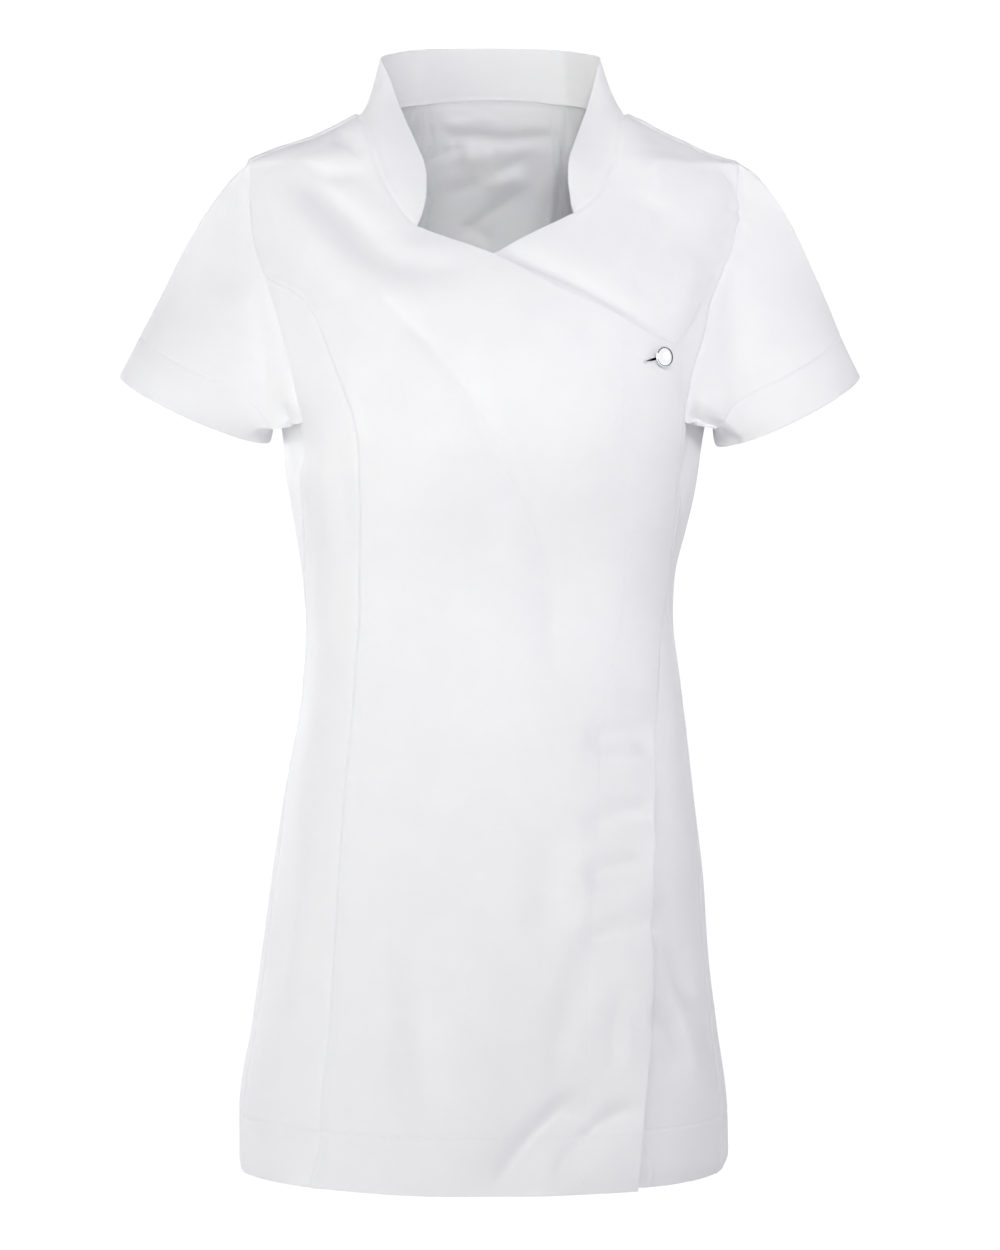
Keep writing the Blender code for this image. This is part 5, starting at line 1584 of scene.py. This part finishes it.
def thread_tree():
    """A tree that puts one slim thread on each vertex, turned along its attribute "way"."""
    tree = bpy.data.node_groups.new("threads", "GeometryNodeTree")
    face = tree.interface
    face.new_socket("Places", in_out="INPUT", socket_type="NodeSocketGeometry")
    for label, value in (("Thread length", THREAD_LENGTH * MM), ("Thread thickness", THREAD_THICKNESS * MM),
                         ("Unevenness", THREAD_UNEVENNESS)):
        face.new_socket(label, in_out="INPUT", socket_type="NodeSocketFloat").default_value = value
    face.new_socket("Seed", in_out="INPUT", socket_type="NodeSocketInt").default_value = STITCH_SEED
    face.new_socket("Finish", in_out="INPUT", socket_type="NodeSocketMaterial")
    face.new_socket("Threads", in_out="OUTPUT", socket_type="NodeSocketGeometry")
    given = tree.nodes.new("NodeGroupInput").outputs
    places = node(tree, "GeometryNodeMeshToPoints", Mesh=given["Places"])
    thread = node(tree, "GeometryNodeMeshUVSphere", Segments=THREAD_SIDES, Rings=THREAD_RINGS, Radius=0.5)
    smooth = node(tree, "GeometryNodeSetShadeSmooth", Geometry=thread.outputs["Mesh"])
    way = node(tree, "GeometryNodeInputNamedAttribute", Name="way")
    way.data_type = "FLOAT_VECTOR"
    turned = node(tree, "FunctionNodeAlignRotationToVector", Vector=way.outputs["Attribute"])
    turned.axis = "Z"
    uneven = node(tree, "FunctionNodeRandomValue", Seed=given["Seed"])
    uneven.data_type = "FLOAT"
    ends = {socket.name: socket for socket in uneven.inputs if socket.enabled}
    ends["Max"].default_value = 1.0
    tree.links.new(maths(tree, "SUBTRACT", 1.0, given["Unevenness"]), ends["Min"])
    drawn = next(socket for socket in uneven.outputs if socket.enabled)
    size = node(tree, "ShaderNodeCombineXYZ", X=given["Thread thickness"], Y=given["Thread thickness"],
                Z=maths(tree, "MULTIPLY", given["Thread length"], drawn))
    copies = node(tree, "GeometryNodeInstanceOnPoints", Points=places.outputs["Points"],
                  Instance=smooth.outputs["Geometry"], Rotation=turned.outputs["Rotation"],
                  Scale=size.outputs["Vector"])
    real = node(tree, "GeometryNodeRealizeInstances", Geometry=copies.outputs["Instances"])
    finish = node(tree, "GeometryNodeSetMaterial", Geometry=real.outputs["Geometry"],
                  Material=given["Finish"])
    node(tree, "NodeGroupOutput", Threads=finish.outputs["Geometry"])
    return tree


def made_plain(thing, modifier):
    """Gives an object the plain mesh that its modifier makes, and removes the modifier."""
    evaluated = thing.evaluated_get(bpy.context.evaluated_depsgraph_get())
    mesh = bpy.data.meshes.new_from_object(evaluated)
    thing.modifiers.remove(modifier)
    thing.data = mesh
    return mesh


THREADS = thread_tree()


def sew(name, places, ways, length, thickness=THREAD_THICKNESS):
    """One thread at each place (millimetres), as one mesh."""
    mesh = bpy.data.meshes.new(name)
    mesh.from_pydata([tuple(point) for point in places * MM], [], [])
    attribute = mesh.attributes.new("way", "FLOAT_VECTOR", "POINT")
    attribute.data.foreach_set("vector", ways.astype(np.float32).ravel())
    thing = add_object(name, mesh)
    modifier = thing.modifiers.new("threads", "NODES")
    modifier.node_group = THREADS
    sockets = {item.name: item.identifier for item in THREADS.interface.items_tree if item.in_out == "INPUT"}
    modifier[sockets["Thread length"]] = length * MM
    modifier[sockets["Thread thickness"]] = thickness * MM
    modifier[sockets["Unevenness"]] = THREAD_UNEVENNESS
    modifier[sockets["Seed"]] = STITCH_SEED
    modifier[sockets["Finish"]] = white_thread
    sewn = made_plain(thing, modifier)
    bpy.data.meshes.remove(mesh)
    sewn.name = name
    PIECES[name] = thing
    print(f"{name}: {len(places)} threads, {triangles(sewn)} triangles")
# %% Hem and placket stitches
STITCH_PITCH = 2.7
STITCH_LENGTH = 2.35
STITCH_STAND = 0.08         # the thread's middle above the cloth


def line_stitches(lines):
    """Places and ways of stitches along several lines, each given with its way out."""
    places = []
    ways = []
    for points, out in lines:
        place, way = threads_along(points, STITCH_PITCH)
        places.append(place + unit(spread_over(out, len(place))) * STITCH_STAND)
        ways.append(way)
    return np.concatenate(places), np.concatenate(ways)


body_panels = [right_front, left_front, centre_back, *side_fronts.values(), *side_backs.values()]
hem_lines = [crossing(panel.outer, panel.hem_away, HEM_LENGTH) for panel in body_panels]
sew("hem_stitches", *line_stitches([(line, away_from_middle(line)) for line in hem_lines]), STITCH_LENGTH)

sleeve_hem_lines = []
for sleeve in sleeves.values():
    line = crossing(sleeve.outer, -sleeve.hem_away, -SLEEVE_HEM_LENGTH)
    line = np.concatenate([line, line[:1]])
    sleeve_hem_lines.append((line, unit(line - line.mean(axis=0))))
sew("sleeve_hem_stitches", *line_stitches(sleeve_hem_lines), STITCH_LENGTH)

PLACKET_ROWS = SKIRT_ROWS + 12
placket_x = smooth_table([z for x, z in PLACKET_LINE], [x for x, z in PLACKET_LINE])
seen_right = seen_from_front(right_front.outer[:PLACKET_ROWS])
past_line = seen_right[..., 0] - placket_x(seen_right[..., 1])
placket_line = crossing(right_front.outer.transpose(1, 0, 2), past_line.T, 0.0)
sew("placket_stitches", *line_stitches([(placket_line, away_from_middle(placket_line))]), STITCH_LENGTH)

# %% Oversewn edges inside
OVERSEW_PITCH = 2.0
OVERSEW_LENGTH = 3.4
OVERSEW_THICKNESS = 0.62
OVERSEW_LEAN = 0.42         # how far the threads lean along the edge
NEEDLE_OFFSET = 6.2
EDGE_OFFSET = 9.3
NEAR_COLUMNS = 24           # as many as lie within reach of the seam


def beside_seam(panel, from_end, offset):
    """The line on a panel's inside that runs at an offset in millimetres from a long seam."""
    grid = (panel.inner[:, ::-1] if from_end else panel.inner)[:, :NEAR_COLUMNS]
    passed = lengths_along(grid.transpose(1, 0, 2)).T
    return np.array([points_at(offset, *row) for row in zip(passed, grid)])


def oversewn(panel, from_end):
    """Places and ways of threads that slant to and fro across an allowance's cut edge."""
    needle = beside_seam(panel, from_end, NEEDLE_OFFSET)
    edge = beside_seam(panel, from_end, EDGE_OFFSET)
    place, way = threads_along((needle + edge) / 2.0, OVERSEW_PITCH)
    across = unit(spread_over(edge - needle, len(place)))
    lean = np.where(np.arange(len(place)) % 2 == 0, OVERSEW_LEAN, -OVERSEW_LEAN)[:, None]
    inward = np.cross(way, across)
    inward *= np.sign((inward * -away_from_middle(place)).sum(axis=1, keepdims=True))
    return place + inward * STITCH_STAND, unit(across + way * lean)


def oversew(name, edges):
    """The oversewing along several edges, each given as a panel and which of its sides."""
    places, ways = zip(*[oversewn(panel, from_end) for panel, from_end in edges])
    sew(name, np.concatenate(places), np.concatenate(ways), OVERSEW_LENGTH, OVERSEW_THICKNESS)


oversew("back_oversewing", [(centre_back, False), (centre_back, True)])
oversew("side_oversewing", [(panel, False) for panel in side_backs.values()])
oversew("front_oversewing", [(right_front, False)])
# %% [markdown]
# ## Buttonhole and button
# The buttonhole is a real slit through the right front, cut with a Boolean and bound with
# close stitches. The button is turned metal: a domed face inside a narrow groove and a rim,
# on a short shank. It is one profile turned round the axis that stands square on the cloth.
# The shank ends in a flat foot, which lies in the slit just below the cloth's face. Groove,
# underside and foot are painted dark by an attribute: painted shade and painted reflection.

# %% Buttonhole
BUTTON_ACROSS = 119.0
BUTTON_HEIGHT = -180.5
SLIT_LENGTH = 12.4
SLIT_HALF = 0.95
SLIT_TAPER = 2.3            # how fast the slit narrows towards its far end
SLIT_TIP = 1.04             # the share of its length where it would come to a point
SLIT_DROP = 3.6             # the slit's far end lies this much lower than the button's middle
CUT_LEVELS = (-3.0, 8.0)
BINDING_PITCH = 0.55
BINDING_LENGTH = 1.7
BINDING_THICKNESS = 0.42
BINDING_START = 0.4
BINDING_LAP = 0.1           # the binding's threads reach this far into the slit
BINDING_STAND = 0.12


def on_right_front(across, height):
    """Place on the right front's form and the way out there."""
    angle = float(angle_at(across, height))
    return form_point(angle, height), form_normal(angle, height)


def prism(made, outline, low, high):
    """Adds a flat-ended block across the slit, between two heights above the form."""
    rings = [[made.verts.new((button_foot + slit_way * along + slit_side * across + button_axis * level) * MM)
              for along, across in outline] for level in (low, high)]
    made.faces.new(rings[0])
    made.faces.new(rings[1][::-1])
    for k in range(len(outline)):
        after = (k + 1) % len(outline)
        made.faces.new((rings[0][k], rings[1][k], rings[1][after], rings[0][after]))
    return rings[0] + rings[1]


button_foot, button_axis = on_right_front(BUTTON_ACROSS, BUTTON_HEIGHT)
slit_end, _ = on_right_front(BUTTON_ACROSS - SLIT_LENGTH, BUTTON_HEIGHT - SLIT_DROP)
slit_way = unit(slit_end - button_foot)
slit_side = unit(np.cross(button_axis, slit_way))
slit_span = float(np.linalg.norm(slit_end - button_foot))
lens = [(share * slit_span, SLIT_HALF * min(1.0, SLIT_TAPER * (SLIT_TIP - share)))
        for share in np.linspace(0.0, 1.0, 9)]
cutter_mesh = bmesh.new()
prism(cutter_mesh, lens + [(along, -half) for along, half in reversed(lens)], *CUT_LEVELS)
bmesh.ops.recalc_face_normals(cutter_mesh, faces=cutter_mesh.faces)
cutter_data = bpy.data.meshes.new("slit_cutter")
cutter_mesh.to_mesh(cutter_data)
cutter_mesh.free()
cutter = add_object("slit_cutter", cutter_data)
cut = right_front.thing.modifiers.new("slit", "BOOLEAN")
cut.operation = "DIFFERENCE"
cut.solver = "EXACT"
cut.object = cutter
whole_count = len(right_front.thing.data.polygons)
slit_mesh = made_plain(right_front.thing, cut)
bpy.data.objects.remove(cutter)
print("buttonhole cut:", whole_count, "faces became", len(slit_mesh.polygons))

flat_outer = right_front.outer.reshape(-1, 3)
nearest = flat_outer[tree_of(flat_outer).find(button_foot)[1]]
lift_here = float((nearest - button_foot) @ button_axis)
places = []
ways = []
for side in (-1.0, 1.0):
    for along in np.arange(BINDING_START, slit_span, BINDING_PITCH):
        half = np.interp(along, *zip(*lens))
        aside = half + BINDING_LENGTH / 2.0 - BINDING_LAP
        places.append(button_foot + slit_way * along + slit_side * side * aside
                      + button_axis * (lift_here + BINDING_STAND))
        ways.append(slit_side)
for turn in np.radians(np.linspace(-80.0, 80.0, 7)):
    way = slit_way * math.cos(turn) + slit_side * math.sin(turn)
    places.append(slit_end + way * BINDING_LENGTH / 2.0 + button_axis * (lift_here + BINDING_STAND))
    ways.append(way)
sew("buttonhole_stitches", np.array(places), np.array(ways), BINDING_LENGTH, BINDING_THICKNESS)

# %% Button
BUTTON_STAND = 3.5          # the button's underside above the form
BUTTON_PROFILE = (          # radius, height above the underside
    (0.0, -1.6), (1.9, -1.6), (2.3, -1.45), (2.45, -1.1), (2.5, -0.5), (2.7, -0.15), (3.2, 0.0),
    (4.6, 0.0), (6.1, 0.02), (6.75, 0.10), (7.10, 0.28), (7.25, 0.55), (7.25, 0.95), (7.17, 1.25),
    (7.00, 1.43), (6.80, 1.50), (6.62, 1.44), (6.50, 1.28), (6.44, 1.05), (6.40, 0.92), (6.34, 0.96),
    (6.28, 1.15), (6.20, 1.34), (6.05, 1.50), (5.70, 1.70), (5.10, 1.94), (4.30, 2.18), (3.30, 2.38),
    (2.20, 2.52), (1.10, 2.58), (0.0, 2.60),
)
BUTTON_SIDES = 72
BUTTON_SHARP = 50.0
GROOVE_RADIUS = 6.50
GROOVE_WIDTH = 0.34
GROOVE_WIDER = ((0.42, 0.15), (0.16, 2.4))      # how much, and at which turn, the painted dark ring of shade and reflection grows wider
GROOVE_ABOVE = 0.8
# below this height the button is painted dark, as painted shade under it
UNDERSIDE_BELOW = 0.5
UNDERSIDE_PAINTED_SHADE = 0.75
FOOT_LEVELS = (-0.8, -0.2)  # from the cloth's face
FOOT_GAP = 0.06             # between the foot and the slit's sides
FOOT_OUTLINE = ([(along, half - FOOT_GAP) for along, half in lens[1:-1]]
                + [(along, FOOT_GAP - half) for along, half in lens[-2:0:-1]])


def painted_shade_at(radius, height, turn):
    """Painted shade and painted reflection at a place on the button: a dark ring in its groove, unevenly
    wide, and painted shade on its underside.
    """
    width = GROOVE_WIDTH
    for wider, place in GROOVE_WIDER:
        width = width + wider * max(0.0, math.cos(turn - place)) ** 3
    in_groove = math.exp(-((radius - GROOVE_RADIUS) / width) ** 4) if height > GROOVE_ABOVE else 0.0
    return min(1.0, in_groove + (UNDERSIDE_PAINTED_SHADE if height < UNDERSIDE_BELOW else 0.0))


def turned(name, profile, sides):
    """A profile turned round the button's axis, and the foot of its shank, with their painted shade and
    painted reflection.
    """
    frame_x = unit(np.cross([0.0, 0.0, 1.0], button_axis))
    frame_y = np.cross(button_axis, frame_x)
    middle = button_foot + button_axis * BUTTON_STAND
    made = bmesh.new()
    groove = made.verts.layers.float.new("groove")
    rings = []
    for radius, height in profile:
        ring = []
        for k in range(sides if radius > 0.0 else 1):
            turn = 2.0 * math.pi * k / sides
            place = (middle + button_axis * height + frame_x * radius * math.cos(turn)
                     + frame_y * radius * math.sin(turn))
            vertex = made.verts.new(place * MM)
            vertex[groove] = painted_shade_at(radius, height, turn)
            ring.append(vertex)
        rings.append(ring)
    for low, high in zip(rings[:-1], rings[1:]):
        for k in range(sides):
            after = (k + 1) % sides
            corners = [low[k % len(low)], low[after % len(low)], high[after % len(high)], high[k % len(high)]]
            made.faces.new(list(dict.fromkeys(corners)))
    # the shank's foot in the slit is painted fully dark, as painted shade inside the buttonhole
    for vertex in prism(made, FOOT_OUTLINE, *(lift_here + level for level in FOOT_LEVELS)):
        vertex[groove] = 1.0
    bmesh.ops.recalc_face_normals(made, faces=made.faces)
    mesh = bpy.data.meshes.new(name)
    made.to_mesh(mesh)
    made.free()
    mesh.shade_smooth()
    mesh.set_sharp_from_angle(angle=math.radians(BUTTON_SHARP))
    mesh.materials.append(button_metal)
    print(f"{name}: {triangles(mesh)} triangles")
    return add_object(name, mesh)


button = turned("metal_button", BUTTON_PROFILE, BUTTON_SIDES)
# %% Dress the frame
SHEETS = {                  # node, width and length of the cut, and its flat area in square metres
    "right_front_cloth": ("right_front", 0.290, 0.790, 0.169),
    "left_front_cloth": ("left_front", 0.215, 0.780, 0.129),
    "left_side_front_cloth": ("left_side_front", 0.081, 0.670, 0.041),
    "right_side_front_cloth": ("right_side_front", 0.081, 0.670, 0.042),
    "centre_back_cloth": ("centre_back", 0.203, 0.800, 0.109),
    "left_side_back_cloth": ("left_side_back", 0.204, 0.800, 0.121),
    "right_side_back_cloth": ("right_side_back", 0.204, 0.800, 0.121),
    "left_sleeve_cloth": ("left_sleeve", 0.440, 0.180, 0.035),
    "right_sleeve_cloth": ("right_sleeve", 0.440, 0.180, 0.035),
    "collar_cloth": ("collar", 0.500, 0.043, 0.016),
}
for name, (solid, width, length, area) in SHEETS.items():
    piece = PIECES[name]
    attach(piece, "root")
    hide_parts(solid)
print(len(SHEETS), "sheets of cloth")
for name, piece in PIECES.items():
    if name not in SHEETS:
        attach(piece, "root")
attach(button, "root")
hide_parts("button")
